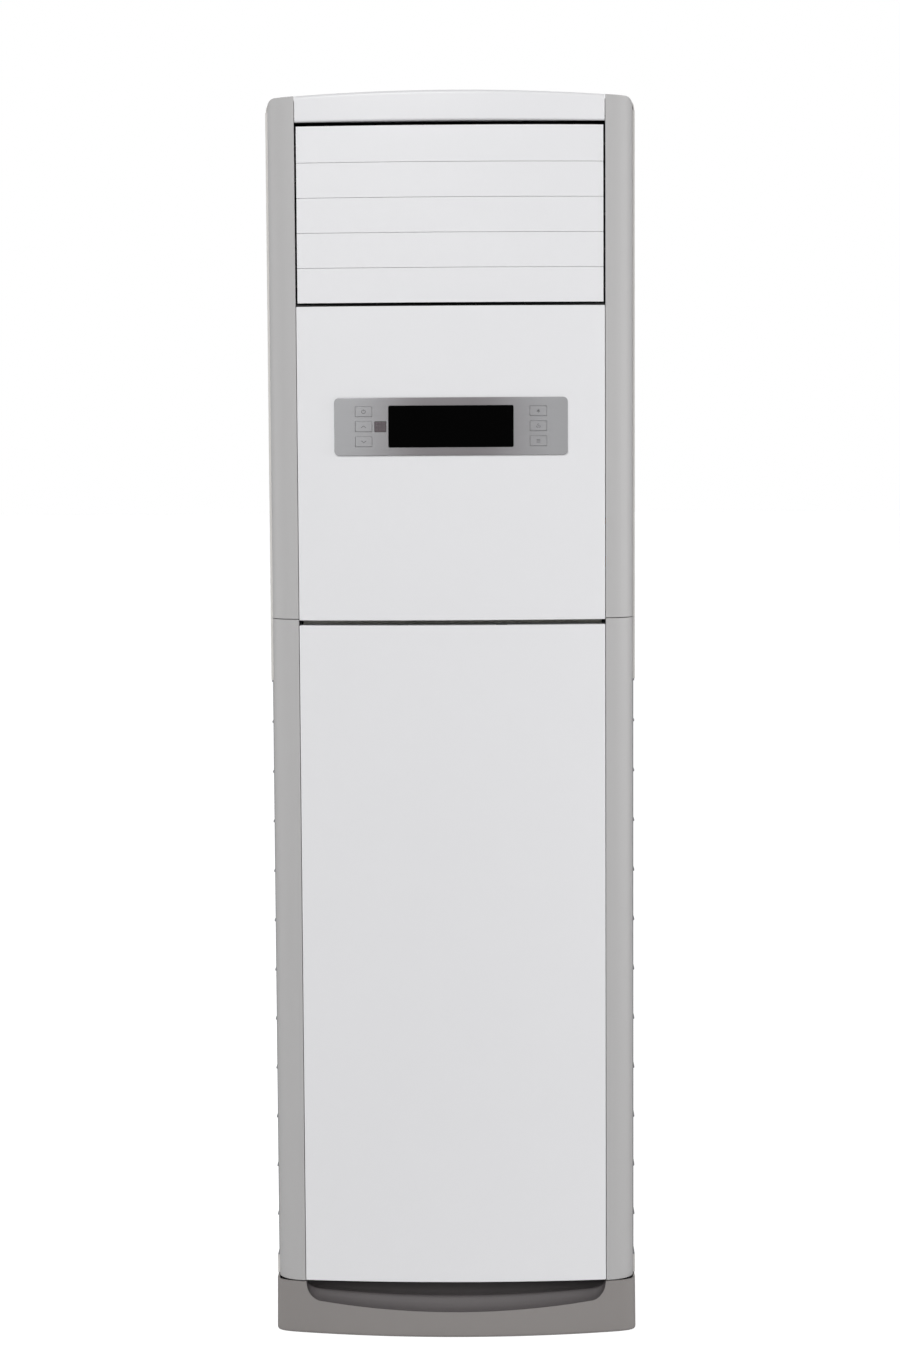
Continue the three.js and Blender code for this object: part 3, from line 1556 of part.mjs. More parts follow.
function filterHolder() {
  const half = sideInner - fit;
  const plateFront = filterBack + filterPlay;
  const plateBack = plateFront + steel;
  const foot = filterFoot - 18;
  const head = deckBottom - fit;
  const sheet = box(-half, half, plateFront, plateBack, foot, head);
  const window = box(
    -filterWidth / 2 + 12, filterWidth / 2 - 12,
    plateFront - 1, plateBack + 1,
    filterFoot + 12, filterFoot + filterHeight - 12,
  );
  const lip = 6;
  const channelFront = filterFront - filterPlay - steel;
  const parts = [];
  for (const side of [-1, 1]) {
    const wallNear = side * (filterWidth / 2 + filterPlay);
    const wallFar = side * (filterWidth / 2 + filterPlay + steel);
    const lipNear = side * (filterWidth / 2 - lip);
    const x0 = Math.min(wallNear, wallFar);
    const x1 = Math.max(wallNear, wallFar);
    const length = filterHeight - 30;
    parts.push(box(x0, x1, channelFront, plateFront + 0.3, filterFoot + 20, filterFoot + length));
    parts.push(box(
      Math.min(lipNear, wallFar), Math.max(lipNear, wallFar),
      channelFront, channelFront + steel,
      filterFoot + 20, filterFoot + length,
    ));
  }
  const shelf = box(
    -filterWidth / 2 + 30, filterWidth / 2 - 30,
    channelFront, plateFront + 0.3,
    filterFoot - fit - steel, filterFoot - fit,
  );
  const bottomLip = box(
    -filterWidth / 2 + filterStopInset, filterWidth / 2 - filterStopInset,
    channelFront, channelFront + steel,
    filterFoot - fit - steel, filterFoot + 6,
  );
  return join(cut(sheet, window), ...parts, shelf, bottomLip);
}

// ---------- electrical box and pipes ----------

const boxHalf = boxWidth / 2;
const boxFront = deckFront + 30;
const boxBack = boxFront + boxDepth;

function electricalBox() {
  const body = box(-boxHalf, boxHalf, boxFront, boxBack, boxFoot, boxHead);
  const hollow = box(
    -boxHalf + steel, boxHalf - steel,
    boxFront - 1, boxBack - steel,
    boxFoot + steel, boxHead - steel,
  );
  const feet = [];
  for (const side of [-1, 1]) {
    const x = side * (boxHalf - 20);
    const column = box(x - 16, x + 16, boxBack - 30, boxBack, steel + panRibHeight + fit, boxFoot + 1);
    const open = box(x - 14.5, x + 14.5, boxBack - 40, boxBack - steel, steel + 8, boxFoot - 1);
    feet.push(cut(column, open));
  }
  const low = boxFoot + boardFoot;
  const rear = boxBack - 1;
  const controller = box(
    -boxHalf + relayRoom, -relayRoom,
    rear - controllerDepth, rear,
    low, low + controllerHeight,
  );
  const relay = box(
    relayRoom, relayRoom + relayWidth,
    rear - relayDepth, rear,
    low + controllerHeight / 4, low + controllerHeight / 4 + relayHeight,
  );
  return join(cut(body, hollow), ...feet, controller, relay);
}

function boxCover() {
  const front = boxFront - fit - steel;
  const sheet = box(-boxHalf, boxHalf, front, front + steel, boxFoot - 2, boxHead + 2);
  const slots = [];
  for (let i = 0; i < coverSlots; i += 1) {
    const z = boxHead - 34 - i * coverSlotPitch;
    const slot = roundRect(coverSlotLength, 5, 2, boxHalf - coverSlotLength, z);
    slots.push(prismY(slot, front - 1, front + steel + 1, 1));
  }
  return cut(sheet, ...slots);
}

function terminalBlock() {
  const y1 = boxBack - steel - fit;
  const foot = boxFoot + 24;
  const base = box(-40, 60, y1 - 10, y1, foot, foot + 30);
  const walls = [];
  for (let i = 0; i <= 5; i += 1) {
    const x = -40 + i * 19.4;
    walls.push(box(x, x + 3, y1 - 22, y1 - 9, foot, foot + 30));
  }
  return join(base, ...walls);
}

// Copper line from the coil's end plate, back along the side, down to its flare nut at the rear
function pipe(along, y, radius, foot) {
  const side = coilHalf + coilCheek + fit;
  const start = new THREE.Vector3(side, coilThickness / 2, along).applyMatrix4(coilMatrix());
  const line = tube(
    [
      [side, start.y, start.z],
      [pipeX, start.y, start.z],
      [pipeX, y, start.z],
      [pipeX, y, foot],
      [pipeX, pipeEnd, foot],
    ],
    radius, pipeBend,
  );
  const nut = new THREE.CylinderGeometry(radius * 1.7, radius * 1.7, 16, 6);
  nut.translate(pipeX, pipeEnd - 14, foot);
  return join(line, solidOf(nut));
}

function wallBracket() {
  const z = sideTop - bracketDrop;
  const plate = prismY(roundRect(bracketWidth, bracketHeight, 5, 0, z), rearFace + fit, backMost, 3);
  const holes = [];
  for (const side of [-1, 1]) {
    holes.push(prismY(roundRect(14, 7, 3.4, side * bracketHoleOffset, z), rearFace, backMost + 1, 2));
  }
  return cut(plate, ...holes);
}

// ---------- the assembly ----------

add('base_pan', basePan(), zincSteel);
add('plinth', plinth(), plinthPlastic);

const lowerRight = lowerColumn();
const upperRight = upperColumn();
add('right_lower_column', lowerRight, greyPaint);
add('left_lower_column', mirrored(lowerRight), greyPaint);
add('right_upper_column', upperRight, greyPaint);
add('left_upper_column', mirrored(upperRight), greyPaint);

const sideRight = sidePanel();
const grilleRight = intakeGrille();
add('right_side_panel', sideRight, bodySteel);
add('left_side_panel', mirrored(sideRight), bodySteel);
add('right_intake_grille', grilleRight, greyPlastic);
add('left_intake_grille', mirrored(grilleRight), greyPlastic);

add('rear_panel', rearPanel(), bodySteel);
add('rear_service_panel', servicePanel(), bodySteel);
add('top_cover', topCover(), bodySteel);
add('front_cap', frontCap(), whitePlastic);
add('wall_bracket', wallBracket(), zincSteel);

add('lower_front_panel', door(), whitePlastic);
add('upper_front_panel', upperPanel(), whitePlastic);

add('display_bezel', bezel(), silverFilm);
add('display_lens', displayLens(), darkGlass);
add('receiver_window', receiverWindow(), darkGlass);
add('display_board', displayBoard(), boardGreen);
const { left: leftButtons, right: rightButtons } = buttonPlaces();
add('button_power', button(leftButtons[0]), silverFilm);
add('button_up', button(leftButtons[1]), silverFilm);
add('button_down', button(leftButtons[2]), silverFilm);
add('button_mode', button(rightButtons[0]), silverFilm);
add('button_fan', button(rightButtons[1]), silverFilm);
add('button_function', button(rightButtons[2]), silverFilm);

add('outlet_duct', outletDuct(), blackPlastic);
for (let i = 1; i <= bladeCount; i += 1) {
  add(`louver_${i}`, louver(i), whitePlastic);
}
add('louver_link', louverLink(), greyPlastic);
add('louver_motor', louverMotor(), zincSteel);
for (let i = 1; i <= vaneCount; i += 1) {
  add(`vane_${i}`, vane(i), blackPlastic);
}
add('vane_link', vaneLink(), blackPlastic);
add('vane_motor', vaneMotor(), zincSteel);

add('deck', deck(), zincSteel);
add('drain_pan', drainPan(), foam);
add('drain_hose', drainHose(), greyPlastic);
add('coil', coil(), aluminium);
add('gas_pipe', pipe(gasPipeStart, gasPipeY, gasPipeRadius, gasPipeFoot), copper);
add('liquid_pipe', pipe(liquidPipeStart, liquidPipeY, liquidPipeRadius, liquidPipeFoot), copper);

add('filter', filter(), greyPlastic);
add('filter_holder', filterHolder(), zincSteel);
add('scroll_housing', scrollHousing(), blackPlastic);
add('scroll_plate', scrollPlate(), blackPlastic);
add('blower_wheel', blowerWheel(), wheelPlastic);
add('fan_motor', fanMotor(), zincSteel);

add('electrical_box', electricalBox(), zincSteel);
add('box_cover', boxCover(), zincSteel);
add('terminal_block', terminalBlock(), blackPlastic);

export default group;
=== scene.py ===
import json
import math

import bmesh
import bpy
from mathutils import Matrix, Vector


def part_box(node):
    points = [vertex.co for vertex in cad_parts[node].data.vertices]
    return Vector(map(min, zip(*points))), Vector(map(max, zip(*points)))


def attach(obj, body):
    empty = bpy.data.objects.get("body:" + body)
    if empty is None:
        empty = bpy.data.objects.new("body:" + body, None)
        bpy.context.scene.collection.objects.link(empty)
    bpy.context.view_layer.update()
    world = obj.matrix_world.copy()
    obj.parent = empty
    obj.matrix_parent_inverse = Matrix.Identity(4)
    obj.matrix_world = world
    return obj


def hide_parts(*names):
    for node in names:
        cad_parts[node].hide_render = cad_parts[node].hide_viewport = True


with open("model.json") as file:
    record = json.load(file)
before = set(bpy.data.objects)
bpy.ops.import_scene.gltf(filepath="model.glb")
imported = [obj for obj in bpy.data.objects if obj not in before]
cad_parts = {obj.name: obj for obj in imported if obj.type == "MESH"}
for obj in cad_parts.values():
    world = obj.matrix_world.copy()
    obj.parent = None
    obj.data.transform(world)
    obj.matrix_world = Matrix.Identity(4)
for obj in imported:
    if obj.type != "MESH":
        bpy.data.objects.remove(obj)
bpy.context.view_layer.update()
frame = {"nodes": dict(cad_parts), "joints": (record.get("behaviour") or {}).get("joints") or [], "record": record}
scene = bpy.context.scene
mm = 0.001


# The cabinet's shared lines, from the frame's own boxes and the plan radii of its front

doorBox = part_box("lower_front_panel")
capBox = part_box("front_cap")
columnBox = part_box("right_upper_column")
cabinet = {
    "faceY": doorBox[0].y,  # white front at mid width
    "faceRadius": 1950 * mm,
    "faceHalf": doorBox[1].x,
    "bulgeY": capBox[0].y,  # cap and plinth stand further out
    "bulgeRadius": 1071 * mm,
    "half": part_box("plinth")[1].x,
    "top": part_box("top_cover")[1].z,
    "crownRadius": 4666 * mm,
    "topCorner": 12 * mm,
}
joints = {joint["child"]: joint for joint in frame["joints"]}


def arcDrop(x, radius):
    return radius - math.sqrt(radius * radius - x * x)


def faceY(x):
    return cabinet["faceY"] + arcDrop(x, cabinet["faceRadius"])


def bulgeY(x):
    return cabinet["bulgeY"] + arcDrop(x, cabinet["bulgeRadius"])


def crownZ(x):
    return cabinet["top"] - arcDrop(x, cabinet["crownRadius"])


def crownWithCorner(x, half):  # the arched top, rounded down to its outer end
    radius = cabinet["topCorner"]
    edge = half - radius
    if abs(x) <= edge:
        return crownZ(x)
    reach = min(radius, abs(x) - edge)
    return crownZ(edge) - radius + math.sqrt(radius * radius - reach * reach)


def blend(a, b, count):
    return [a + (b - a) * i / count for i in range(count + 1)]


def arcPoints(x, z, radius, first, last, steps):
    return [(x + radius * math.cos(a), z + radius * math.sin(a)) for a in blend(first, last, steps)]


def srgb(red, green, blue):
    def linear(value):
        value /= 255
        return value / 12.92 if value <= 0.04045 else ((value + 0.055) / 1.055) ** 2.4

    return (linear(red), linear(green), linear(blue), 1)


# Mesh helpers

def boxSpan(node):  # width, height, and the middle across and up
    low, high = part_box(node)
    return high.x - low.x, high.z - low.z, (low.x + high.x) / 2, (low.z + high.z) / 2


def linked(name, data):
    thing = bpy.data.objects.new(name, data)
    scene.collection.objects.link(thing)
    return thing


def newObject(name, points, faces):
    mesh = bpy.data.meshes.new(name)
    mesh.from_pydata([tuple(p) for p in points], [], faces)
    mesh.validate()
    return linked(name, mesh)


def meshed(name, bm):
    mesh = bpy.data.meshes.new(name)
    bm.to_mesh(mesh)
    bm.free()
    return linked(name, mesh)


def edited(thing, change):
    bm = bmesh.new()
    bm.from_mesh(thing.data)
    change(bm)
    bm.to_mesh(thing.data)
    bm.free()
    return thing


def facedOutward(thing, way=None):  # an open shell is turned so that its normals lean one way
    def change(bm):
        bmesh.ops.recalc_face_normals(bm, faces=bm.faces)
        if way and sum(face.normal.dot(Vector(way)) * face.calc_area() for face in bm.faces) <= 0:
            bmesh.ops.reverse_faces(bm, faces=bm.faces)

    return edited(thing, change)


def gridObject(name, rows, extraFaces=(), extraPoints=()):
    width = len(rows[0])
    points = [p for row in rows for p in row] + list(extraPoints)
    faces = []
    for r in range(len(rows) - 1):
        for c in range(width - 1):
            a = r * width + c
            faces.append((a, a + 1, a + 1 + width, a + width))
    return newObject(name, points, faces + list(extraFaces))


def plateObject(name, outline, near, far):  # outline in (x, z), counter-clockwise from the front
    count = len(outline)
    points = [(x, near, z) for x, z in outline] + [(x, far, z) for x, z in outline]
    faces = [tuple(range(count)), tuple(reversed(range(count, 2 * count)))]
    for i in range(count):
        j = (i + 1) % count
        faces.append((j, i, i + count, j + count))
    return newObject(name, points, faces)


def sidePlate(name, outline, x0, x1):  # outline in (y, z), run along x
    plate = plateObject(name, outline, x0, x1)
    plate.data.transform(Matrix(((0, 1, 0, 0), (1, 0, 0, 0), (0, 0, 1, 0), (0, 0, 0, 1))))
    plate.data.flip_normals()
    return plate


def boxObject(name, low, high):
    x0, y0, z0 = low
    x1, y1, z1 = high
    return plateObject(name, [(x0, z0), (x1, z0), (x1, z1), (x0, z1)], y0, y1)


def rodObject(name, start, end, radius, sides=24):
    start, end = Vector(start), Vector(end)
    bm = bmesh.new()
    bmesh.ops.create_cone(
        bm, cap_ends=True, segments=sides, radius1=radius, radius2=radius, depth=(end - start).length
    )
    rod = meshed(name, bm)
    turn = (end - start).to_track_quat("Z", "Y").to_matrix().to_4x4()
    rod.data.transform(Matrix.Translation((start + end) / 2) @ turn)
    return rod


def roundedRect(width, height, radius, centreX=0, centreZ=0, steps=6):
    outline = []
    corners = [(1, -1, -90), (1, 1, 0), (-1, 1, 90), (-1, -1, 180)]
    for signX, signZ, first in corners:
        x = centreX + signX * (width / 2 - radius)
        z = centreZ + signZ * (height / 2 - radius)
        outline += arcPoints(x, z, radius, math.radians(first), math.radians(first + 90), steps)
    return outline


def applyModifiers(thing):
    evaluated = thing.evaluated_get(bpy.context.evaluated_depsgraph_get())
    mesh = bpy.data.meshes.new_from_object(evaluated)
    thing.modifiers.clear()
    thing.data = mesh
    return thing


def thickened(thing, wall):
    solidify = thing.modifiers.new("wall", "SOLIDIFY")
    solidify.thickness = wall
    solidify.offset = -1
    solidify.use_even_offset = True
    return applyModifiers(thing)


def bevelled(thing, width, segments=3, angle=35):
    bevel = thing.modifiers.new("edges", "BEVEL")
    bevel.width = width
    bevel.segments = segments
    bevel.limit_method = "ANGLE"
    bevel.angle_limit = math.radians(angle)
    bevel.use_clamp_overlap = True
    return applyModifiers(thing)


def combined(thing, operation, others):
    for other in others:
        boolean = thing.modifiers.new("combine", "BOOLEAN")
        boolean.object = other
        boolean.operation = operation
        boolean.solver = "EXACT"
    applyModifiers(thing)
    for other in others:
        bpy.data.objects.remove(other)
    return thing


def cutBy(thing, *cutters):
    return combined(thing, "DIFFERENCE", cutters)


def joined(name, parts):
    bm = bmesh.new()
    for part in parts:
        bm.from_mesh(part.data)
        bpy.data.objects.remove(part)
    return meshed(name, bm)


def bentOntoFront(thing, step=8 * mm):  # a flat piece, made at the face's mid width, follows the arc
    def change(bm):
        low = min(v.co.x for v in bm.verts)
        high = max(v.co.x for v in bm.verts)
        x = math.ceil(low / step) * step
        while x < high:
            parts = bm.verts[:] + bm.edges[:] + bm.faces[:]
            bmesh.ops.bisect_plane(bm, geom=parts, dist=1e-6, plane_co=(x, 0, 0), plane_no=(1, 0, 0))
            x += step
        for vertex in bm.verts:
            vertex.co.y += arcDrop(vertex.co.x, cabinet["faceRadius"])

    return edited(thing, change)


def dressed(thing, material, angle=40):
    mesh = thing.data
    for polygon in mesh.polygons:
        polygon.use_smooth = True
    mesh.set_sharp_from_angle(angle=math.radians(angle))
    weighted = thing.modifiers.new("even shading", "WEIGHTED_NORMAL")
    weighted.keep_sharp = True
    mesh.materials.clear()
    mesh.materials.append(material)
    return thing


def seat(thing, body, slotName, *nodes):
    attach(thing, body)
    if nodes:
        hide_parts(*nodes)
    return thing


# Shader node groups shared by the finishes

surfaceOutputs = ("Colour", "Roughness", "Height")
middleGrey = (0.5, 0.5, 0.5, 1)


def newGroup(name, inputs, outputs):  # a socket's kind follows from its value or its name
    group = bpy.data.node_groups.new(name, "ShaderNodeTree")
    kinds = {0: "NodeSocketFloat", 3: "NodeSocketVector", 4: "NodeSocketColor"}
    for socketName, value in inputs.items():
        kind = kinds[len(value) if isinstance(value, tuple) else 0]
        socket = group.interface.new_socket(name=socketName, in_out="INPUT", socket_type=kind)
        socket.default_value = value
    for socketName in outputs:
        kind = kinds[4 if socketName == "Colour" else 0]
        group.interface.new_socket(name=socketName, in_out="OUTPUT", socket_type=kind)
    return group, group.nodes.new("NodeGroupInput"), group.nodes.new("NodeGroupOutput")


def feed(tree, node, values):  # a link or a plain value for each input
    for key, value in values.items():
        if isinstance(value, bpy.types.NodeSocket):
            tree.links.new(value, node.inputs[key])
        else:
            node.inputs[key].default_value = value
    return node


def objectPlace(tree):
    return tree.nodes.new("ShaderNodeTexCoord").outputs["Object"]


def addMath(tree, operation, first, second):
    node = tree.nodes.new("ShaderNodeMath")
    node.operation = operation
    return feed(tree, node, {0: first, 1: second}).outputs[0]


def addVectorMath(tree, operation, vector, values):
    node = tree.nodes.new("ShaderNodeVectorMath")
    node.operation = operation
    return feed(tree, node, {0: vector, **values}).outputs[0]


def addMix(tree, factor, first, second):
    node = tree.nodes.new("ShaderNodeMix")
    node.data_type = "RGBA"
    return feed(tree, node, {0: factor, 6: first, 7: second}).outputs[2]


def addNoise(tree, vector, scale, detail=3, roughness=0.5):
    node = tree.nodes.new("ShaderNodeTexNoise")
    values = {"Vector": vector, "Scale": scale, "Detail": detail, "Roughness": roughness}
    return feed(tree, node, values).outputs["Fac"]


def centred(tree, value, spread):  # noise about its middle, times a spread
    return addMath(tree, "MULTIPLY", addMath(tree, "SUBTRACT", value, 0.5), spread)


def closeGroup(tree, ins, outs, level, sheen, height):
    feed(tree, outs, {
        "Colour": addVectorMath(tree, "SCALE", ins.outputs["Colour"], {"Scale": level}),
        "Roughness": addMath(tree, "ADD", sheen, ins.outputs["Roughness"]),
        "Height": height,
    })
    return tree


def buildMoulding():  # injection moulded or painted skin: cloudy tint, fine texture, uneven sheen
    tree, ins, outs = newGroup("mouldedSkin", {
        "Colour": middleGrey,
        "Tint Spread": 0.03,
        "Cloud Scale": 4,
        "Grain Scale": 900,
        "Grain Spread": 0.02,
        "Roughness": 0.4,
        "Sheen Spread": 0.06,
    }, surfaceOutputs)
    place = objectPlace(tree)
    cloud = addNoise(tree, place, ins.outputs["Cloud Scale"])
    grain = addNoise(tree, place, ins.outputs["Grain Scale"], detail=2, roughness=0.6)
    tint = centred(tree, cloud, ins.outputs["Tint Spread"])
    speck = centred(tree, grain, ins.outputs["Grain Spread"])
    level = addMath(tree, "ADD", addMath(tree, "ADD", tint, speck), 1)
    return closeGroup(tree, ins, outs, level, centred(tree, cloud, ins.outputs["Sheen Spread"]), grain)


def buildBrushed():  # lines drawn along one axis, for rolled sheet and printed film
    tree, ins, outs = newGroup("brushedLines", {
        "Colour": middleGrey,
        "Line Spread": 0.1,
        "Stretch": (8, 400, 400),
        "Roughness": 0.35,
    }, surfaceOutputs)
    sheenSpread = 0.15
    stretched = addVectorMath(tree, "MULTIPLY", objectPlace(tree), {1: ins.outputs["Stretch"]})
    lines = addNoise(tree, stretched, scale=1, roughness=0.6)
    level = addMath(tree, "ADD", centred(tree, lines, ins.outputs["Line Spread"]), 1)
    return closeGroup(tree, ins, outs, level, centred(tree, lines, sheenSpread), lines)


def buildDust():  # a thin settled film on what faces up
    tree, ins, outs = newGroup("settledDust", {
        "Colour": middleGrey,
        "Dust Colour": srgb(150, 146, 140),
        "Amount": 0.15,
    }, ["Colour"])
    facing = tree.nodes.new("ShaderNodeSeparateXYZ")
    tree.links.new(tree.nodes.new("ShaderNodeNewGeometry").outputs["Normal"], facing.inputs[0])
    upward = addMath(tree, "MAXIMUM", facing.outputs["Z"], 0)
    patches = addNoise(tree, objectPlace(tree), scale=26, detail=4, roughness=0.65)
    mask = addMath(tree, "MULTIPLY", addMath(tree, "MULTIPLY", upward, patches), ins.outputs["Amount"])
    feed(tree, outs, {"Colour": addMix(tree, mask, ins.outputs["Colour"], ins.outputs["Dust Colour"])})
    return tree


mouldedSkin = buildMoulding()
brushedLines = buildBrushed()
settledDust = buildDust()
print("shader groups ready")


# Materials

bumpDistance = 0.1 * mm


def newMaterial(name):
    material = bpy.data.materials.new(name)
    material.use_nodes = True
    return material, material.node_tree, material.node_tree.nodes["Principled BSDF"]


def placeGroup(tree, group, values):
    node = tree.nodes.new("ShaderNodeGroup")
    node.node_tree = group
    return feed(tree, node, values)


def placeLines(tree, look, colour):
    return placeGroup(tree, brushedLines, {
        "Colour": colour,
        "Line Spread": look["lineSpread"],
        "Stretch": look["stretch"],
        "Roughness": look["roughness"],
    })


def linkBump(tree, shader, height, strength):
    bump = tree.nodes.new("ShaderNodeBump")
    feed(tree, bump, {"Height": height, "Strength": strength, "Distance": bumpDistance})
    tree.links.new(bump.outputs["Normal"], shader.inputs["Normal"])


def mouldedMaterial(name, look):
    material, tree, shader = newMaterial(name)
    skin = placeGroup(tree, mouldedSkin, {
        "Colour": look["colour"],
        "Tint Spread": look.get("tintSpread", 0.03),
        "Cloud Scale": look.get("cloudScale", 4),
        "Grain Scale": look.get("grainScale", 900),
        "Grain Spread": look.get("grainSpread", 0.02),
        "Roughness": look["roughness"],
        "Sheen Spread": look.get("sheenSpread", 0.06),
    })
    colour = skin.outputs["Colour"]
    if "dust" in look:
        dust = placeGroup(tree, settledDust, {"Colour": colour, "Amount": look["dust"]})
        colour = dust.outputs["Colour"]
    feed(tree, shader, {
        "Base Color": colour,
        "Roughness": skin.outputs["Roughness"],
        "Metallic": look.get("metallic", 0),
        "Specular IOR Level": look.get("specular", 0.5),
    })
    linkBump(tree, shader, skin.outputs["Height"], look.get("bump", 0.08))
    return material


def brushedMaterial(name, look):
    material, tree, shader = newMaterial(name)
    colour = look["colour"]
    if "endColour" in look:  # painted reflection: the tone runs out to a lighter one at both ends
        place = tree.nodes.new("ShaderNodeSeparateXYZ")
        tree.links.new(objectPlace(tree), place.inputs[0])
        across = addMath(tree, "ABSOLUTE", place.outputs["X"], 0)
        ramp = tree.nodes.new("ShaderNodeMapRange")
        ramp.interpolation_type = "SMOOTHSTEP"
        start, end = look["fade"]
        feed(tree, ramp, {"Value": across, "From Min": start, "From Max": end})
        colour = addMix(tree, ramp.outputs[0], colour, look["endColour"])
    lines = placeLines(tree, look, colour)
    feed(tree, shader, {
        "Base Color": lines.outputs["Colour"],
        "Roughness": lines.outputs["Roughness"],
        "Metallic": look["metallic"],
    })
    linkBump(tree, shader, lines.outputs["Height"], look.get("bump", 0.06))
    return material


whiteMoulding = mouldedMaterial("whiteMoulding", {
    "colour": srgb(226, 226, 228),
    "roughness": 0.34,
    "tintSpread": 0.012,
    "grainSpread": 0.01,
    "bump": 0.03,
})
silverPaint = mouldedMaterial("silverPaint", {
    "colour": srgb(176, 175, 175),
    "roughness": 0.62,
    "metallic": 0.2,
    "grainScale": 2600,
    "grainSpread": 0.06,
    "bump": 0.03,
})
plinthMoulding = mouldedMaterial("plinthMoulding", {
    "colour": srgb(134, 130, 128),
    "roughness": 0.46,
    "grainSpread": 0.05,
    "bump": 0.12,
    "dust": 0.2,
})
# painted shade: a darker grey for the hand recess, standing in for the shade under the lower panel
recessMoulding = mouldedMaterial("recessMoulding", {
    "colour": srgb(84, 80, 81),
    "roughness": 0.55,
    "grainSpread": 0.05,
    "bump": 0.12,
    "dust": 0.1,
})
powderCoat = mouldedMaterial("powderCoat", {
    "colour": srgb(205, 203, 200),
    "roughness": 0.5,
    "grainScale": 420,
    "bump": 0.2,
    "dust": 0.15,
})
matBlack = mouldedMaterial("matBlack", {
    "colour": srgb(20, 20, 21),
    "roughness": 0.6,
    "grainSpread": 0.1,
    "bump": 0.15,
})
greyMoulding = mouldedMaterial("greyMoulding", {
    "colour": srgb(140, 142, 144),
    "roughness": 0.5,
    "bump": 0.1,
    "dust": 0.2,
})
foamTray = mouldedMaterial("foamTray", {
    "colour": srgb(232, 230, 222),
    "roughness": 0.85,
    "grainScale": 500,
    "grainSpread": 0.08,
    "bump": 0.3,
})
wheelMoulding = mouldedMaterial("wheelMoulding", {
    "colour": srgb(74, 76, 80),
    "roughness": 0.5,
    "bump": 0.1,
    "dust": 0.3,
})
symbolInk = mouldedMaterial("symbolInk", {
    "colour": srgb(70, 68, 70),
    "roughness": 0.6,
    "grainSpread": 0.05,
})
displayAcrylic = mouldedMaterial("displayAcrylic", {
    "colour": srgb(3, 3, 3),
    "roughness": 0.12,
    "specular": 0.01,
    "sheenSpread": 0.02,
    "bump": 0,
})
receiverAcrylic = mouldedMaterial("receiverAcrylic", {
    "colour": srgb(84, 75, 79),
    "roughness": 0.3,
    "grainSpread": 0.1,
})
# painted reflection: the brushed film is lighter towards both ends, set by place across the front
silverFilm = brushedMaterial("silverFilm", {
    "colour": srgb(118, 115, 117),
    "endColour": srgb(154, 154, 156),
    "fade": (30 * mm, 150 * mm),
    "lineSpread": 0.05,
    "stretch": (6, 300, 900),
    "roughness": 0.32,
    "metallic": 0.4,
    "bump": 0.02,
})
brushedAluminium = brushedMaterial("brushedAluminium", {
    "colour": srgb(196, 199, 201),
    "lineSpread": 0.5,
    "stretch": (620, 8, 8),
    "roughness": 0.4,
    "metallic": 0.9,
})


drawnCopper = mouldedMaterial("drawnCopper", {
    "colour": srgb(190, 120, 76),
    "tintSpread": 0.3,
    "cloudScale": 30,
    "grainScale": 300,
    "roughness": 0.32,
    "sheenSpread": 0.2,
    "metallic": 1,
    "bump": 0,
})


def zincMaterial(sheet):
    material, tree, shader = newMaterial("zincSheet")
    lines = placeLines(tree, sheet, sheet["colour"])
    spangle = tree.nodes.new("ShaderNodeTexVoronoi")
    feed(tree, spangle, {"Vector": objectPlace(tree), "Scale": sheet["spangleScale"]})
    shade = tree.nodes.new("ShaderNodeSeparateColor")
    tree.links.new(spangle.outputs["Color"], shade.inputs[0])
    level = addMath(tree, "ADD", centred(tree, shade.outputs[0], sheet["spangleSpread"]), 1)
    feed(tree, shader, {
        "Base Color": addVectorMath(tree, "SCALE", lines.outputs["Colour"], {"Scale": level}),
        "Roughness": lines.outputs["Roughness"],
        "Metallic": sheet["metallic"],
    })
    return material


def boardMaterial(board):
    material, tree, shader = newMaterial("circuitBoard")
    turned = tree.nodes.new("ShaderNodeVectorRotate")
    turned.rotation_type = "X_AXIS"
    feed(tree, turned, {"Vector": objectPlace(tree), "Angle": math.pi / 2})
    tracks = tree.nodes.new("ShaderNodeTexBrick")
    feed(tree, tracks, {
        "Vector": turned.outputs[0],
        "Color1": board["mask"],
        "Color2": board["shade"],
        "Mortar": board["track"],
        "Scale": board["scale"],
        "Mortar Size": board["trackWidth"],
    })
    feed(tree, shader, {"Base Color": tracks.outputs["Color"], "Roughness": board["roughness"]})
    return material


zincSheet = zincMaterial({
    "colour": srgb(159, 163, 166),
    "lineSpread": 0.12,
    "stretch": (10, 120, 160),
    "roughness": 0.42,
    "metallic": 0.8,
    "spangleScale": 70,
    "spangleSpread": 0.22,
})
circuitBoard = boardMaterial({
    "mask": srgb(40, 92, 56),
    "shade": srgb(34, 80, 50),
    "track": srgb(70, 124, 82),
    "scale": 60,
    "trackWidth": 0.03,
    "roughness": 0.45,
})

finishes = {
    "white_plastic": whiteMoulding,
    "grey_paint": silverPaint,
    "plinth_plastic": plinthMoulding,
    "body_steel": powderCoat,
    "zinc_steel": zincSheet,
    "black_plastic": matBlack,
    "silver_film": silverFilm,
    "dark_glass": displayAcrylic,
    "board_green": circuitBoard,
    "coil_aluminium": brushedAluminium,
    "copper": drawnCopper,
    "grey_plastic": greyMoulding,
    "white_foam": foamTray,
    "wheel_plastic": wheelMoulding,
}
for part in frame["record"]["subparts"]:
    mesh = frame["nodes"][part["node"]].data
    mesh.materials.clear()
    mesh.materials.append(finishes[part["material_slot"]])


# Lower and upper front panels: a curved tray with a rim all round

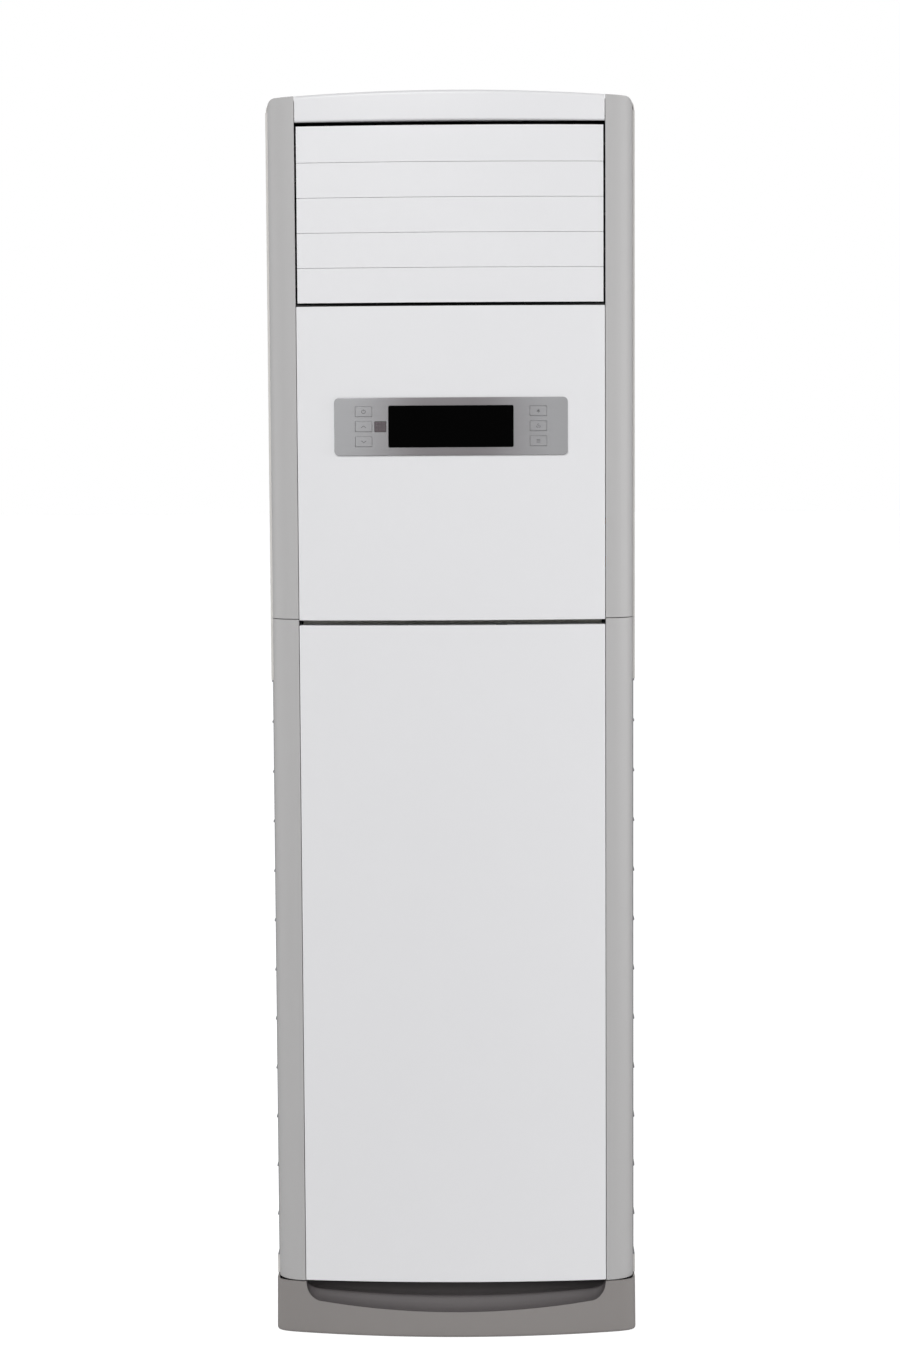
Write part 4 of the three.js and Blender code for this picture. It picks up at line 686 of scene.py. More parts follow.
panels = {
    "rimDepth": 14 * mm,
    "wall": 2.6 * mm,
    "edge": 1.1 * mm,
    "windowGap": 0.4 * mm,
    "rows": 12,
    "ribs": 3,  # across the door's inner side
    "ribDepth": 5 * mm,
    "ribHalf": 1 * mm,
    "ribRoot": 0.4 * mm,
    "lugPlace": 75 * mm,  # the door's two hinge eyes
    "lugHalf": 2 * mm,
    "lugRadius": 7 * mm,
    "lugHole": 3.4 * mm,
    "lugFoot": 2.2 * mm,  # behind the panel's face
    "lugAbove": 8 * mm,
    "lugBelow": 16 * mm,
    "lugEdge": 0.3 * mm,
    "notchPlace": 70 * mm,  # where the rim clears the deck's hinge arms
    "notchHalf": 8 * mm,
    "notchGap": 0.3 * mm,
    "notchDepth": 20 * mm,
    "windowCorner": 3 * mm,
    "windowBorder": 5 * mm,
}


def panelTray(name, node):
    low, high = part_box(node)
    rows = [[(x, low.y, z) for x in (-high.x, high.x)] for z in blend(low.z, high.z, panels["rows"])]

    def addRim(bm):
        border = [edge for edge in bm.edges if edge.is_boundary]
        rim = bmesh.ops.extrude_edge_only(bm, edges=border)["geom"]
        rimPoints = [part for part in rim if isinstance(part, bmesh.types.BMVert)]
        bmesh.ops.translate(bm, verts=rimPoints, vec=(0, panels["rimDepth"], 0))

    return thickened(edited(gridObject(name, rows), addRim), panels["wall"])


def hingeLug(side):
    _, y, z = joints["door"]["pos_m"]
    near = cabinet["faceY"] + panels["lugFoot"]
    outline = [(near, z + panels["lugAbove"]), (near, z - panels["lugBelow"])]
    outline += arcPoints(y, z, panels["lugRadius"], -math.pi / 3, math.pi / 2, 12)
    x, half = side * panels["lugPlace"], panels["lugHalf"]
    lug = bevelled(sidePlate("lug", outline, x - half, x + half), panels["lugEdge"], segments=2)
    return cutBy(lug, rodObject("hole", (x - 5 * half, y, z), (x + 5 * half, y, z), panels["lugHole"]))


def lowerPanel():
    low, high = doorBox
    tray = bevelled(panelTray("door", "lower_front_panel"), panels["edge"])
    back = cabinet["faceY"] + panels["wall"]
    near, far = back + panels["notchGap"], back + panels["notchDepth"]
    bottom, top = high.z - panels["wall"] - 1 * mm, high.z + 1 * mm
    notches = []
    for side in (-1, 1):
        x, half = side * panels["notchPlace"], panels["notchHalf"]
        notches.append(boxObject("notch", (x - half, near, bottom), (x + half, far, top)))
    cutBy(tray, *notches)
    parts = [bentOntoFront(tray), hingeLug(-1), hingeLug(1)]
    near, far, half = back - panels["ribRoot"], back + panels["ribDepth"], panels["ribHalf"]
    for z in blend(low.z, high.z, panels["ribs"] + 1)[1:-1]:
        rib = boxObject("rib", (low.x + half, near, z - half), (high.x - half, far, z + half))
        parts.append(bentOntoFront(rib))
    door = joined("lowerFrontPanel", parts)
    return seat(dressed(door, whiteMoulding), "door", "white_plastic", "lower_front_panel")


def upperPanel():
    tray = panelTray("upperFrontPanel", "upper_front_panel")
    width, height, _, z = boxSpan("display_bezel")
    border = 2 * (panels["windowBorder"] - panels["windowGap"])
    outline = roundedRect(width - border, height - border, panels["windowCorner"], 0, z)
    cutBy(tray, plateObject("window", outline, cabinet["faceY"] - 20 * mm, cabinet["faceY"] + 40 * mm))
    bevelled(tray, panels["edge"])
    return seat(dressed(bentOntoFront(tray), whiteMoulding), "cabinet", "white_plastic", "upper_front_panel")


lowerPanel()
upperPanel()
print("front panels done")


# Control strip: bezel, display window, receiver and six buttons, made flat and bent onto the front

strip = {
    "corner": 7 * mm,
    "proud": 2.5 * mm,
    "back": 5.5 * mm,
    "border": 5 * mm,
    "bodyCorner": 3 * mm,
    "edge": 0.6 * mm,
    "gap": 0.4 * mm,
    "cutReach": 20 * mm,
    "displayCorner": 2.4 * mm,
    "windowBack": 0.4 * mm,
    "windowSunk": 0.2 * mm,
    "windowEdge": 0.25 * mm,
    "receiverCorner": 1 * mm,
    "receiverSunk": 0.1 * mm,
    "receiverCells": 3,
    "receiverGroove": 1.1 * mm,
    "receiverRelief": 0.6 * mm,
    "cellCorner": 0.5 * mm,
    "cellEdge": 0.2 * mm,
    "buttonCorner": 1 * mm,
    "buttonEdge": 0.35 * mm,
    "buttonProud": 0.2 * mm,  # past the bezel
    "collar": 1 * mm,
    "inkThickness": 0.06 * mm,
    "inkRoot": 0.1 * mm,
    "inkWidth": 0.7 * mm,
    "symbolSize": 2.6 * mm,
}
stripZ = boxSpan("display_bezel")[3]
stripFront = cabinet["faceY"] - strip["proud"]
buttonNodes = ["button_power", "button_up", "button_down", "button_mode", "button_fan", "button_function"]
buttonCollar = 1.2 * mm + strip["gap"]  # the solid's hidden collar stands out past its cap by this


def opening(node, grow, corner):
    width, height, x, z = boxSpan(node)
    outline = roundedRect(width + 2 * grow, height + 2 * grow, corner, x, z)
    return plateObject(
        "opening", outline, cabinet["faceY"] - strip["cutReach"], cabinet["faceY"] + strip["cutReach"]
    )


def bezelPiece():
    width, height, _, _ = boxSpan("display_bezel")
    seam = cabinet["faceY"] - strip["gap"]
    face = roundedRect(width, height, strip["corner"], 0, stripZ, 10)
    bezel = bevelled(plateObject("displayBezel", face, stripFront, seam), strip["edge"])
    border = 2 * strip["border"]
    inner = roundedRect(width - border, height - border, strip["bodyCorner"], 0, stripZ)
    overlap = cabinet["faceY"] - strip["gap"] * 1.01
    combined(bezel, "UNION", [plateObject("bezelBody", inner, overlap, cabinet["faceY"] + strip["back"])])
    cutters = [
        opening("display_lens", strip["gap"], strip["displayCorner"]),
        opening("receiver_window", strip["gap"], strip["receiverCorner"]),
    ]
    for node in buttonNodes:
        cutters.append(opening(node, strip["gap"] - buttonCollar, strip["buttonCorner"]))
    cutBy(bezel, *cutters)
    dressed(bentOntoFront(bezel), silverFilm, 30)
    return seat(bezel, "cabinet", "silver_film", "display_bezel")


def displayPiece():
    width, height, x, _ = boxSpan("display_lens")
    outline = roundedRect(width, height, strip["displayCorner"], x, stripZ, 8)
    near, far = stripFront + strip["windowSunk"], cabinet["faceY"] + strip["windowBack"]
    window = bevelled(plateObject("displayWindow", outline, near, far), strip["windowEdge"], segments=2)
    return seat(dressed(bentOntoFront(window), displayAcrylic), "cabinet", "dark_glass", "display_lens")


def receiverPiece():
    low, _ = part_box("receiver_window")
    width, height, middle, _ = boxSpan("receiver_window")
    near = stripFront + strip["receiverSunk"]
    cells, groove = strip["receiverCells"], strip["receiverGroove"]
    cellWidth = (width - (cells + 1) * groove) / cells
    cellHeight = (height - (cells + 1) * groove) / cells
    outline = roundedRect(width, height, strip["receiverCorner"], middle, stripZ)
    far = cabinet["faceY"] + strip["windowBack"]
    parts = [plateObject("back", outline, near + strip["receiverRelief"], far)]
    for i in range(cells):
        for j in range(cells):
            x = low.x + groove + cellWidth / 2 + i * (cellWidth + groove)
            z = low.z + groove + cellHeight / 2 + j * (cellHeight + groove)
            outline = roundedRect(cellWidth, cellHeight, strip["cellCorner"], x, z, 3)
            cell = plateObject("cell", outline, near, near + strip["receiverRelief"] + 0.1 * mm)
            parts.append(bevelled(cell, strip["cellEdge"], segments=2))
    window = joined("receiverWindow", parts)
    return seat(dressed(bentOntoFront(window), receiverAcrylic), "cabinet", "dark_glass", "receiver_window")


# Symbols are thin printed shapes on the caps
def inkBar(x, z, length, angle):
    half, thick = length / 2, strip["inkWidth"] / 2
    turn = Matrix.Rotation(math.radians(angle), 2)
    corners = [(-half, -thick), (half, -thick), (half, thick), (-half, thick)]
    return [(x + p.x, z + p.y) for p in (turn @ Vector(c) for c in corners)]


def inkArc(x, z, radius, first, last, steps=14):
    inner, outer = radius - strip["inkWidth"] / 2, radius + strip["inkWidth"] / 2
    ends = math.radians(first), math.radians(last)
    return arcPoints(x, z, outer, *ends, steps) + arcPoints(x, z, inner, *ends, steps)[::-1]


def inkDisc(x, z, radius, steps=14):
    return arcPoints(x, z, radius, 0, 2 * math.pi, steps)[:-1]


def symbolShapes(node, x, z):
    size = strip["symbolSize"]
    if node == "button_power":
        return [inkArc(x, z, size, 120, 420, 22), inkBar(x, z + size * 0.75, size, 90)]
    if node in ("button_up", "button_down"):
        lean = 38 if node == "button_up" else -38
        aside, length = size * 0.62, size * 1.8
        return [inkBar(x - aside, z, length, lean), inkBar(x + aside, z, length, -lean)]
    if node == "button_mode":
        return [inkBar(x, z, size * 2, angle) for angle in (30, 90, 150)]
    if node == "button_fan":
        shapes = [inkDisc(x, z, 0.6 * mm)]
        for angle in (90, 210, 330):
            turn = math.radians(angle)
            bladeX, bladeZ = x + size * 0.5 * math.cos(turn), z + size * 0.5 * math.sin(turn)
            shapes.append(inkArc(bladeX, bladeZ, size * 0.55, angle - 60, angle + 100, 10))
        return shapes
    return [inkBar(x, z + rise, size * 2, 0) for rise in (-1.8 * mm, 0, 1.8 * mm)]


def buttonPiece(node):
    width, height, x, z = boxSpan(node)
    near = stripFront - strip["buttonProud"]
    back = cabinet["faceY"] + strip["back"] + strip["gap"]
    face = roundedRect(width - 2 * buttonCollar, height - 2 * buttonCollar, strip["buttonCorner"], x, z)
    cap = bevelled(plateObject(node, face, near, back), strip["buttonEdge"])
    foot = roundedRect(width, height, 1 * mm, x, z)
    collar = plateObject("collar", foot, back, back + strip["collar"])
    button = joined(node.replace("_", ""), [cap, collar])
    dressed(bentOntoFront(button), silverFilm)
    seat(button, node, "silver_film", node)
    inks = []
    for shape in symbolShapes(node, x, z):
        inks.append(plateObject("ink", shape, near - strip["inkThickness"], near + strip["inkRoot"]))
    symbol = joined(node.replace("button_", "symbol"), inks)
    return seat(dressed(bentOntoFront(symbol), symbolInk), node, "silver_film")


bezelPiece()
displayPiece()
receiverPiece()
for node in buttonNodes:
    buttonPiece(node)
print("control strip done")


# Front cap: arched moulding over the outlet

capShape = {
    "wall": 2.6 * mm,
    "lowerEdge": 3 * mm,
    "upperEdge": 5 * mm,
    "edge": 0.8 * mm,
    "lip": 6 * mm,
    "endOpening": 14 * mm,
    "drop": 2 * mm,  # its lower edge hangs over the outlet's head
    "stations": 40,
}


def capProfile(x):
    front, bottom, top = bulgeY(x), capBox[0].z - capShape["drop"], crownZ(x)
    low, high = capShape["lowerEdge"], capShape["upperEdge"]
    lipBack = bulgeY(cabinet["faceHalf"]) + capShape["lip"]
    points = [(x, lipBack, bottom)]
    for angle in blend(0, math.pi / 2, 5):
        points.append((x, front + low - low * math.sin(angle), bottom + low - low * math.cos(angle)))
    for angle in blend(0, math.pi / 2, 7):
        points.append((x, front + high - high * math.cos(angle), top - high + high * math.sin(angle)))
    points.append((x, capBox[1].y, top))
    return points


def frontCap():
    half = cabinet["faceHalf"]
    rows = [capProfile(x) for x in blend(-half, half, capShape["stations"])]
    width, count = len(rows[0]), len(rows) * len(rows[0])
    lipBack = rows[0][0][1]
    level = capBox[0].z + capShape["endOpening"]
    corners, ends = [], []
    for start, x in ((0, -half), (count - width, half)):
        first = count + len(corners)
        ends.append(tuple(range(start, start + width)) + (first, first + 1))
        corners += [(x, capBox[1].y, level), (x, lipBack, level)]
    cap = facedOutward(gridObject("frontCap", rows, [ends[0], ends[1][::-1]], corners))
    bevelled(thickened(cap, capShape["wall"]), capShape["edge"], angle=50)
    return seat(dressed(cap, whiteMoulding), "cabinet", "white_plastic", "front_cap")


frontCap()
print("cap done")


# Louvres: five bowed blades with their cheeks, pins and cranks

louvres = {
    "thickness": 2.6 * mm,
    "edge": 0.4 * mm,
    "seam": 0.4 * mm,
    "sideGap": 3 * mm,
    "headReach": 2 * mm,  # the highest blade reaches further up
    "cheek": 2 * mm,
    "cheekHalf": 15 * mm,
    "cheekRound": 5 * mm,
    "cheekSunk": 0.5 * mm,
    "cheekEdge": 0.4 * mm,
    "pinRadius": 3 * mm,
    "crankGap": 0.6 * mm,
    "crankLength": 14 * mm,
    "crankThickness": 3 * mm,
    "armHalf": 2.8 * mm,
    "hubRadius": 4.2 * mm,
    "eyeRadius": 4 * mm,
    "eyeHole": 2.4 * mm,
    "lipBack": 0.4 * mm,  # behind the blade above
    "lipThickness": 1 * mm,
    "lipReach": 3.5 * mm,
    "lipRoot": 0.2 * mm,
    "lipInset": 2 * mm,
    "pinRoot": 0.5 * mm,
}


def cheekOutline(y, z, half):  # in (y, z)
    face = faceY(half) + louvres["thickness"] - louvres["cheekSunk"]
    tall, radius = louvres["cheekHalf"], louvres["cheekRound"]
    return [(face, z + tall), (face, z - tall)] + arcPoints(y, z, radius, -math.pi / 2, math.pi / 2, 8)


louvrePitch = joints["louver_1"]["pos_m"][2] - joints["louver_2"]["pos_m"][2]


def louvreLip(half, back, head):  # closes the seam to the blade above, from behind
    reach = half - louvres["cheek"] - louvres["lipInset"]
    near = back + louvres["lipBack"]
    far = near + louvres["lipThickness"]
    foot, top = head - louvres["lipReach"], head + louvres["lipReach"]
    root = boxObject("root", (-reach, back - louvres["lipRoot"], foot), (reach, far, head - 0.5 * mm))
    lip = boxObject("lip", (-reach, near, head - 1 * mm), (reach, far, top))
    return [bentOntoFront(root), bentOntoFront(lip)]


def louvre(index):
    node = f"louver_{index}"
    low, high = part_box(node)
    _, y, z = joints[node]["pos_m"]
    half = columnBox[0].x - louvres["sideGap"]
    reach = (louvrePitch - louvres["seam"]) / 2
    head = z + reach + (louvres["headReach"] if index == 1 else 0)
    back = low.y + louvres["thickness"]
    blade = bevelled(boxObject("blade", (-half, low.y, z - reach), (half, back, head)), louvres["edge"])
    parts = [bentOntoFront(blade)]
    if index > 1:
        parts += louvreLip(half, back, z + louvrePitch / 2 - 0.4 * mm)
    for side in (-1, 1):
        faces = sorted((side * (half - louvres["cheek"]), side * half))
        parts.append(bevelled(sidePlate("cheek", cheekOutline(y, z, half), *faces), louvres["cheekEdge"]))
        end = high.x if side > 0 else low.x
        start = side * (half - louvres["pinRoot"])
        parts.append(rodObject("pin", (start, y, z), (end, y, z), louvres["pinRadius"]))
    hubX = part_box("outlet_duct")[1].x + louvres["crankGap"]
    endX = hubX + louvres["crankThickness"]
    eyeY = y + louvres["crankLength"]
    parts.append(rodObject("hub", (hubX, y, z), (endX, y, z), louvres["hubRadius"]))
    armHalf = louvres["armHalf"]
    parts.append(boxObject("arm", (hubX, y, z - armHalf), (endX, eyeY - 3 * mm, z + armHalf)))
    eye = rodObject("eye", (hubX, eyeY, z), (endX, eyeY, z), louvres["eyeRadius"])
    hole = rodObject("hole", (hubX - mm, eyeY, z), (endX + mm, eyeY, z), louvres["eyeHole"])
    parts.append(cutBy(eye, hole))
    piece = joined(f"louvre{index}", parts)
    dressed(piece, whiteMoulding)
    piece.data.materials.append(matBlack)
    for polygon in piece.data.polygons:  # painted shade: the pins are painted black where they show beside the blades, so the side gaps read dark
        centre = polygon.center
        if abs(centre.x) > half and math.hypot(centre.y - y, centre.z - z) < louvres["pinRadius"] * 1.02:
            polygon.material_index = 1
    return seat(piece, node, "white_plastic", node)


for index in range(1, 6):
    louvre(index)
print("louvres done")


# Corner columns: bowed front corner with an arched, rounded head

columns = {
    "corner": 36 * mm,  # depth of the curve, front to back
    "stations": 22,
    "edge": 1.2 * mm,
    "wall": 3 * mm,
    "hollow": 20 * mm,  # width of the space for the louvres' mechanism
}


def cornerCurve(start, end, slope, steps, share=0.55, tail=0.62):
    reach = (end[0] - start[0]) * share
    points = [
        Vector(start),
        Vector((start[0] + reach, start[1] + reach * slope)),
        Vector((end[0], end[1] - (end[1] - start[1]) * tail)),
        Vector(end),
    ]
    curve = []
    for t in blend(0, 1, steps):
        weights = [(1 - t) ** 3, 3 * t * (1 - t) ** 2, 3 * t * t * (1 - t), t ** 3]
        curve.append(sum((w * p for w, p in zip(weights, points)), Vector((0, 0))))
    return curve


def columnPiece(name, node, side, upper):
    low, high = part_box(node)
    inner = min(abs(low.x), abs(high.x))
    outer = max(abs(low.x), abs(high.x))
    cornerBack = low.y + columns["corner"]
    slope = inner / cabinet["faceRadius"]
    stations = []  # x, front, back
    for point in cornerCurve((inner, low.y), (outer, cornerBack), slope, columns["stations"]):
        stations.append((point.x, point.y, high.y))
    if upper:
        split = inner + columns["hollow"]
        before = [(x, front, front + columns["wall"]) for x, front, _ in stations if x < split]
        after = [station for station in stations if station[0] >= split]
        step = after[0]
        stations = before + [(step[0] - 0.01 * mm, step[1], step[1] + columns["wall"])] + after
    points = []
    for x, front, back in stations:
        top = crownWithCorner(x, outer) if upper else high.z
        points += [(x, front, low.z), (x, front, top), (x, back, top), (x, back, low.z)]
    faces = [(0, 1, 2, 3)]
    for i in range(len(stations) - 1):
        for k in range(4):
            a, b = i * 4 + k, i * 4 + (k + 1) % 4
            faces.append((a, a + 4, b + 4, b))
    end = (len(stations) - 1) * 4
    faces.append((end + 3, end + 2, end + 1, end))
    column = newObject(name, points, faces)
    if side < 0:
        column.data.transform(Matrix.Scale(-1, 4, (1, 0, 0)))
    bevelled(facedOutward(column), columns["edge"], angle=50)
    return seat(dressed(column, silverPaint), "cabinet", "grey_paint", node)


for sideName, side in (("right", 1), ("left", -1)):
    columnPiece(f"{sideName}UpperColumn", f"{sideName}_upper_column", side, True)
    columnPiece(f"{sideName}LowerColumn", f"{sideName}_lower_column", side, False)
print("columns done")


# Plinth: bowed skirt with a hand recess under the lower panel

plinthShape = {
    "wall": 3 * mm,
    "recessDepth": 60 * mm,
    "recessDrop": 38.5 * mm,
    "endDrop": 27.5 * mm,
    "cornerRun": 23 * mm,
    "corner": 26 * mm,  # depth of the corner curve
    "cornerShare": 0.7,
    "frontStations": 72,
    "cornerStations": 16,
    "draft": 0.8 * mm,
    "edge": 0.8 * mm,
    "foot": [(2.5 * mm, 1 * mm), (1.1 * mm, 1.6 * mm), (0.3 * mm, 3 * mm), (0, 5 * mm)],  # inset, height
    "facePoints": 10,
    "recessLeast": 2.5 * mm,
    "rimInset": 3 * mm,
    # where the painted shade in the recess begins, behind the lip
    "liningStart": 1.6 * mm,
    "recess": [  # shares of its depth and drop: up from the lip, over a soft ridge, then back into the dark
        (0.1, 0.975), (0.2, 0.88), (0.28, 0.75), (0.335, 0.63), (0.375, 0.57), (0.42, 0.55), (0.465, 0.57),
        (0.51, 0.61), (0.6, 0.64), (0.7, 0.62), (0.77, 0.56), (0.86, 0.4), (0.94, 0.2), (0.985, 0),
    ],
}
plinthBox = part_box("plinth")


def recessDrop(x):
    corner = cabinet["faceHalf"] - plinthShape["cornerRun"]
    if abs(x) <= corner:
        share = x / corner
        rise = plinthShape["recessDrop"] - plinthShape["endDrop"]
        return plinthShape["recessDrop"] - rise * share * share
    share = min(1, (abs(x) - corner) / plinthShape["cornerRun"])
    return plinthShape["endDrop"] * math.sqrt(1 - share * share)


def plinthStations():  # place and inward direction, left to right round the front
    inner = columnBox[0].x
    cornerBack = bulgeY(inner) + plinthShape["corner"]
    slope = inner / cabinet["bulgeRadius"]
    corner = cornerCurve(
        (inner, bulgeY(inner)), (cabinet["half"], cornerBack), slope,
        plinthShape["cornerStations"], plinthShape["cornerShare"],
    )
    right = []
    for i, point in enumerate(corner[1:], 1):
        before = corner[i - 1]
        after = corner[min(i + 1, len(corner) - 1)]
        along = (after - before).normalized()
        right.append((point.x, point.y, -along.y, along.x))
    for y in blend(cornerBack, plinthBox[1].y, 6)[1:]:
        right.append((cabinet["half"], y, -1, 0))
    left = [(-x, y, -nx, ny) for x, y, nx, ny in reversed(right)]
    front = []
    for share in blend(-1, 1, plinthShape["frontStations"]):
        x = inner * math.sin(share * math.pi / 2)
        angle = math.asin(x / cabinet["bulgeRadius"])
        front.append((x, bulgeY(x), -math.sin(angle), math.cos(angle)))
    return left + front + right


def plinthProfile(x, isFront):  # (inset, depth, height) from the foot up, over the lip, into the recess
    top = plinthBox[1].z
    profile = [(inset, 0, z) for inset, z in plinthShape["foot"]]
    drop = recessDrop(x) if isFront else 0
    reach = plinthShape["recessDepth"] * math.sqrt(drop / plinthShape["recessDrop"])
    hasRecess = reach > plinthShape["recessLeast"]
    lip = top - drop if hasRecess else top
    for z in blend(profile[-1][2], lip, plinthShape["facePoints"])[1:]:
        profile.append((plinthShape["draft"] * z / top, 0, z))
    for i, (depthShare, dropShare) in enumerate(plinthShape["recess"], 1):
        if hasRecess:
            profile.append((plinthShape["draft"], reach * depthShare, top - drop * dropShare))
        else:
            inset = plinthShape["rimInset"] * i / len(plinthShape["recess"])
            profile.append((plinthShape["draft"] + inset, 0, top))
    return profile


def plinthPiece():
    rows = []
    for x, y, nx, ny in plinthStations():
        profile = plinthProfile(x, abs(x) < cabinet["faceHalf"])
        rows.append([(x + nx * inset, y + ny * inset + depth, z) for inset, depth, z in profile])
    plinth = facedOutward(gridObject("plinthSkirt", rows), (0, -1, 0))
    bevelled(thickened(plinth, plinthShape["wall"]), plinthShape["edge"], angle=50)
    dressed(plinth, plinthMoulding)
    plinth.data.materials.append(recessMoulding)
    # painted shade: faces inside the hand recess, behind the lip, take the darker recess colour
    for polygon in plinth.data.polygons:
        x, y, z = polygon.center
        inRecess = abs(x) < cabinet["faceHalf"] and z > plinthBox[1].z - plinthShape["recessDrop"]
        if inRecess and y > bulgeY(x) + plinthShape["liningStart"]:
            polygon.material_index = 1
    return seat(plinth, "cabinet", "plinth_plastic", "plinth")


plinthPiece()
print("plinth done")


# Screws along the rear and side panels' edges

screws = {
    "radius": 3.8 * mm,
    "sides": 24,
    "height": 1.5 * mm,
    "rim": 0.3 * mm,
    "sunk": 0.4 * mm,
    "domeAngle": 1.35,
    "turnStep": 1.9,  # from one slot's direction to the next
    "slotWidth": 0.9 * mm,
    "slotLength": 4.2 * mm,
    "slotDepth": 0.8 * mm,
    "inset": 9 * mm,
    "spacing": 260 * mm,
}


def screwHead():  # along +Z, its seat at the origin
    radius, height, rim = screws["radius"], screws["height"], screws["rim"]
    profile = [(radius, -screws["sunk"]), (radius, rim)]
    for t in blend(0, screws["domeAngle"], 5)[1:]:
        profile.append((radius * math.cos(t), rim + (height - rim) * math.sin(t)))
    rows = []
    for angle in blend(0, 2 * math.pi, screws["sides"])[:-1]:
        rows.append([(r * math.cos(angle), r * math.sin(angle), z) for r, z in profile])
    width = len(rows[0])
    points = [p for row in rows for p in row]
    faces = []
    for r in range(len(rows)):
        following = (r + 1) % len(rows)
        for c in range(width - 1):
            a, b = r * width + c, following * width + c
            faces.append((a, b, b + 1, a + 1))
    faces.append(tuple(r * width + width - 1 for r in range(len(rows))))
    faces.append(tuple(r * width for r in reversed(range(len(rows)))))
    head = newObject("screwHead", points, faces)
    long, short = screws["slotLength"] / 2, screws["slotWidth"] / 2
    floor = height - screws["slotDepth"]
    for x, y in ((long, short), (short, long)):
        cutBy(head, boxObject("slot", (-x, -y, floor), (x, y, height * 2)))
    return head


def screwRows(name, places, turn):  # places on a panel, turn points each head outward
    head = screwHead()
    bm = bmesh.new()
    for i, place in enumerate(places):
        copy = head.data.copy()
        spin = Matrix.Rotation(i * screws["turnStep"], 4, "Z")
        copy.transform(Matrix.Translation(place) @ turn @ spin)
        bm.from_mesh(copy)
        bpy.data.meshes.remove(copy)
    bpy.data.objects.remove(head)
    rows = dressed(meshed(name, bm), zincSheet, 50)
    return seat(rows, "cabinet", "zinc_steel")


def edgeLevels(low, high):
    count = max(1, round((high - low) / screws["spacing"]))
    return blend(low + screws["inset"], high - screws["inset"], count)


def panelScrews():
    backward = Matrix.Rotation(-math.pi / 2, 4, "X")
    places = []
    for node in ("rear_panel", "rear_service_panel"):
        low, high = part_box(node)
        for z in edgeLevels(low.z, high.z):
            places += [(low.x + screws["inset"], high.y, z), (high.x - screws["inset"], high.y, z)]
    screwRows("rearScrews", places, backward)
    for side, node in ((-1, "left_side_panel"), (1, "right_side_panel")):
        low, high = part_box(node)
        edge = high.x if side > 0 else low.x
        outward = Matrix.Rotation(side * math.pi / 2, 4, "Y")
        places = [(edge, high.y - screws["inset"], z) for z in edgeLevels(low.z, high.z)]
        screwRows(f"{'right' if side > 0 else 'left'}SideScrews", places, outward)


panelScrews()
print("screws done")


# Top cover behind the cap and the columns

cover = {"wall": 2 * mm, "edge": 1.2 * mm, "foot": 1 * mm, "stations": 40, "cornerStations": 8}


def topCover():
    low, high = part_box("top_cover")
    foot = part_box("right_side_panel")[1].z + cover["foot"]
    half = high.x
    edge = half - cabinet["topCorner"]
    turns = blend(math.pi, math.pi / 2, cover["cornerStations"])[:-1]
    leftEnd = [-edge + cabinet["topCorner"] * math.cos(angle) for angle in turns]
    xs = leftEnd + blend(-edge, edge, cover["stations"]) + [-x for x in reversed(leftEnd)]
    profile = [(-half, foot)] + [(x, crownWithCorner(x, half)) for x in xs] + [(half, foot)]
    rows = [[(x, y, z) for x, z in profile] for y in (low.y, high.y)]
    rear = tuple(range(len(profile), 2 * len(profile)))
    top = facedOutward(gridObject("topCover", rows, [rear]), (0, 0, 1))
    bevelled(thickened(top, cover["wall"]), cover["edge"], angle=50)
    return seat(dressed(top, powderCoat), "cabinet", "body_steel", "top_cover")


topCover()
print("top cover done")


# Floor, light and camera

studio = {
    "floorSize": 40,
    "floorTone": 0.62,
    "floorSpread": 0.02,
    "floorLift": 0.8,  # added for the camera only, so that the clear floor reads white
    "worldLight": 0.2,
    "key": {"place": (-3.0, -14.0, 9.0), "size": (9, 9), "power": 1770, "aim": (0, 0, 0.9)},
    "rightSide": {"place": (4.8, -1.0, 1.2), "size": (2.4, 3.0), "power": 110, "aim": (0, 0, 1.0)},
    "leftSide": {"place": (-5.0, 0.2, 1.2), "size": (2.4, 3.0), "power": 60, "aim": (0, 0, 1.0)},
}


white = (1, 1, 1, 1)


def buildFloor():
    size = studio["floorSize"]
    corners = [(-size, -size, 0), (size, -size, 0), (size, size, 0), (-size, size, 0)]
    floor = newObject("floor", corners, [(0, 1, 2, 3)])
    material, tree, shader = newMaterial("paleFloor")
    fine = addNoise(tree, objectPlace(tree), scale=3, detail=2)
    tone = addMath(tree, "ADD", centred(tree, fine, studio["floorSpread"]), studio["floorTone"])
    colour = tree.nodes.new("ShaderNodeCombineColor")
    feed(tree, colour, {0: tone, 1: tone, 2: tone})
    path = tree.nodes.new("ShaderNodeLightPath")
    feed(tree, shader, {
        "Base Color": colour.outputs[0],
        "Roughness": 0.8,
        "Emission Color": white,
        "Emission Strength": addMath(tree, "MULTIPLY", path.outputs["Is Camera Ray"], studio["floorLift"]),
    })
    floor.data.materials.append(material)


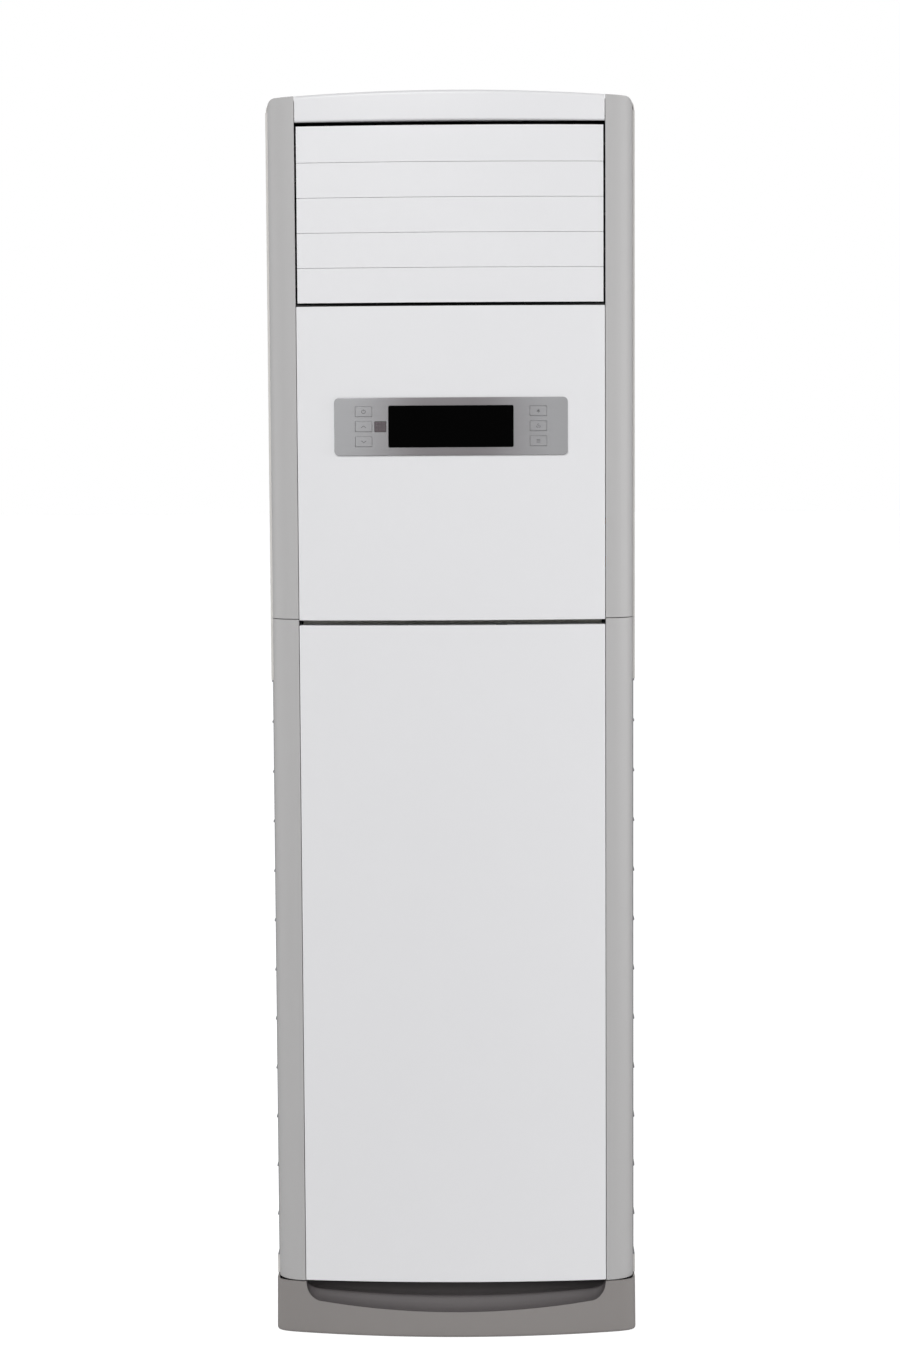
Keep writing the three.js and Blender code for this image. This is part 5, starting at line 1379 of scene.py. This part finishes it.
def buildWorld():
    world = bpy.data.worlds.new("studioWorld")
    world.use_nodes = True
    scene.world = world
    tree = world.node_tree
    path = tree.nodes.new("ShaderNodeLightPath")
    shown = addMath(tree, "MAXIMUM", path.outputs["Is Camera Ray"], path.outputs["Is Glossy Ray"])
    shown = addMath(tree, "MAXIMUM", shown, path.outputs["Is Transmission Ray"])
    extra = addMath(tree, "MULTIPLY", shown, 1 - studio["worldLight"])
    strength = addMath(tree, "ADD", extra, studio["worldLight"])
    feed(tree, tree.nodes["Background"], {"Color": white, "Strength": strength})


def buildLamp(name):
    look = studio[name]
    data = bpy.data.lights.new(name, "AREA")
    data.shape = "RECTANGLE"
    data.size, data.size_y = look["size"]
    data.energy = look["power"]
    lamp = linked(name, data)
    lamp.location = look["place"]
    aim = Vector(look["aim"]) - Vector(look["place"])
    lamp.rotation_mode = "QUATERNION"
    lamp.rotation_quaternion = aim.to_track_quat("-Z", "Y")


photoCamera = {
    "place": (0.059, -4.154, 1.302),
    "pitch": 4.946,  # degrees down
    "yaw": -0.893,  # degrees, towards -X
    "roll": -0.335,
    "focalPixels": 2844.5,
    "imageHeight": 1350,
    "sensorSize": 36,
}


def buildCamera():
    pitch, yaw, roll = (math.radians(photoCamera[key]) for key in ("pitch", "yaw", "roll"))
    ahead = Vector((math.sin(yaw) * math.cos(pitch), math.cos(yaw) * math.cos(pitch), -math.sin(pitch)))
    right = Vector((math.cos(yaw), -math.sin(yaw), 0))
    up = right.cross(ahead)
    turnedRight = right * math.cos(roll) + up * math.sin(roll)
    turnedUp = up * math.cos(roll) - right * math.sin(roll)
    data = bpy.data.cameras.new("photoCamera")
    data.sensor_width = photoCamera["sensorSize"]
    data.lens = photoCamera["focalPixels"] / photoCamera["imageHeight"] * data.sensor_width
    camera = linked("photoCamera", data)
    turn = Matrix((turnedRight, turnedUp, -ahead)).transposed().to_4x4()
    camera.matrix_world = Matrix.Translation(photoCamera["place"]) @ turn
    scene.camera = camera


buildFloor()
buildWorld()
for lampName in ("key", "rightSide", "leftSide"):
    buildLamp(lampName)
buildCamera()
scene.view_settings.view_transform = "Standard"
print("studio done")
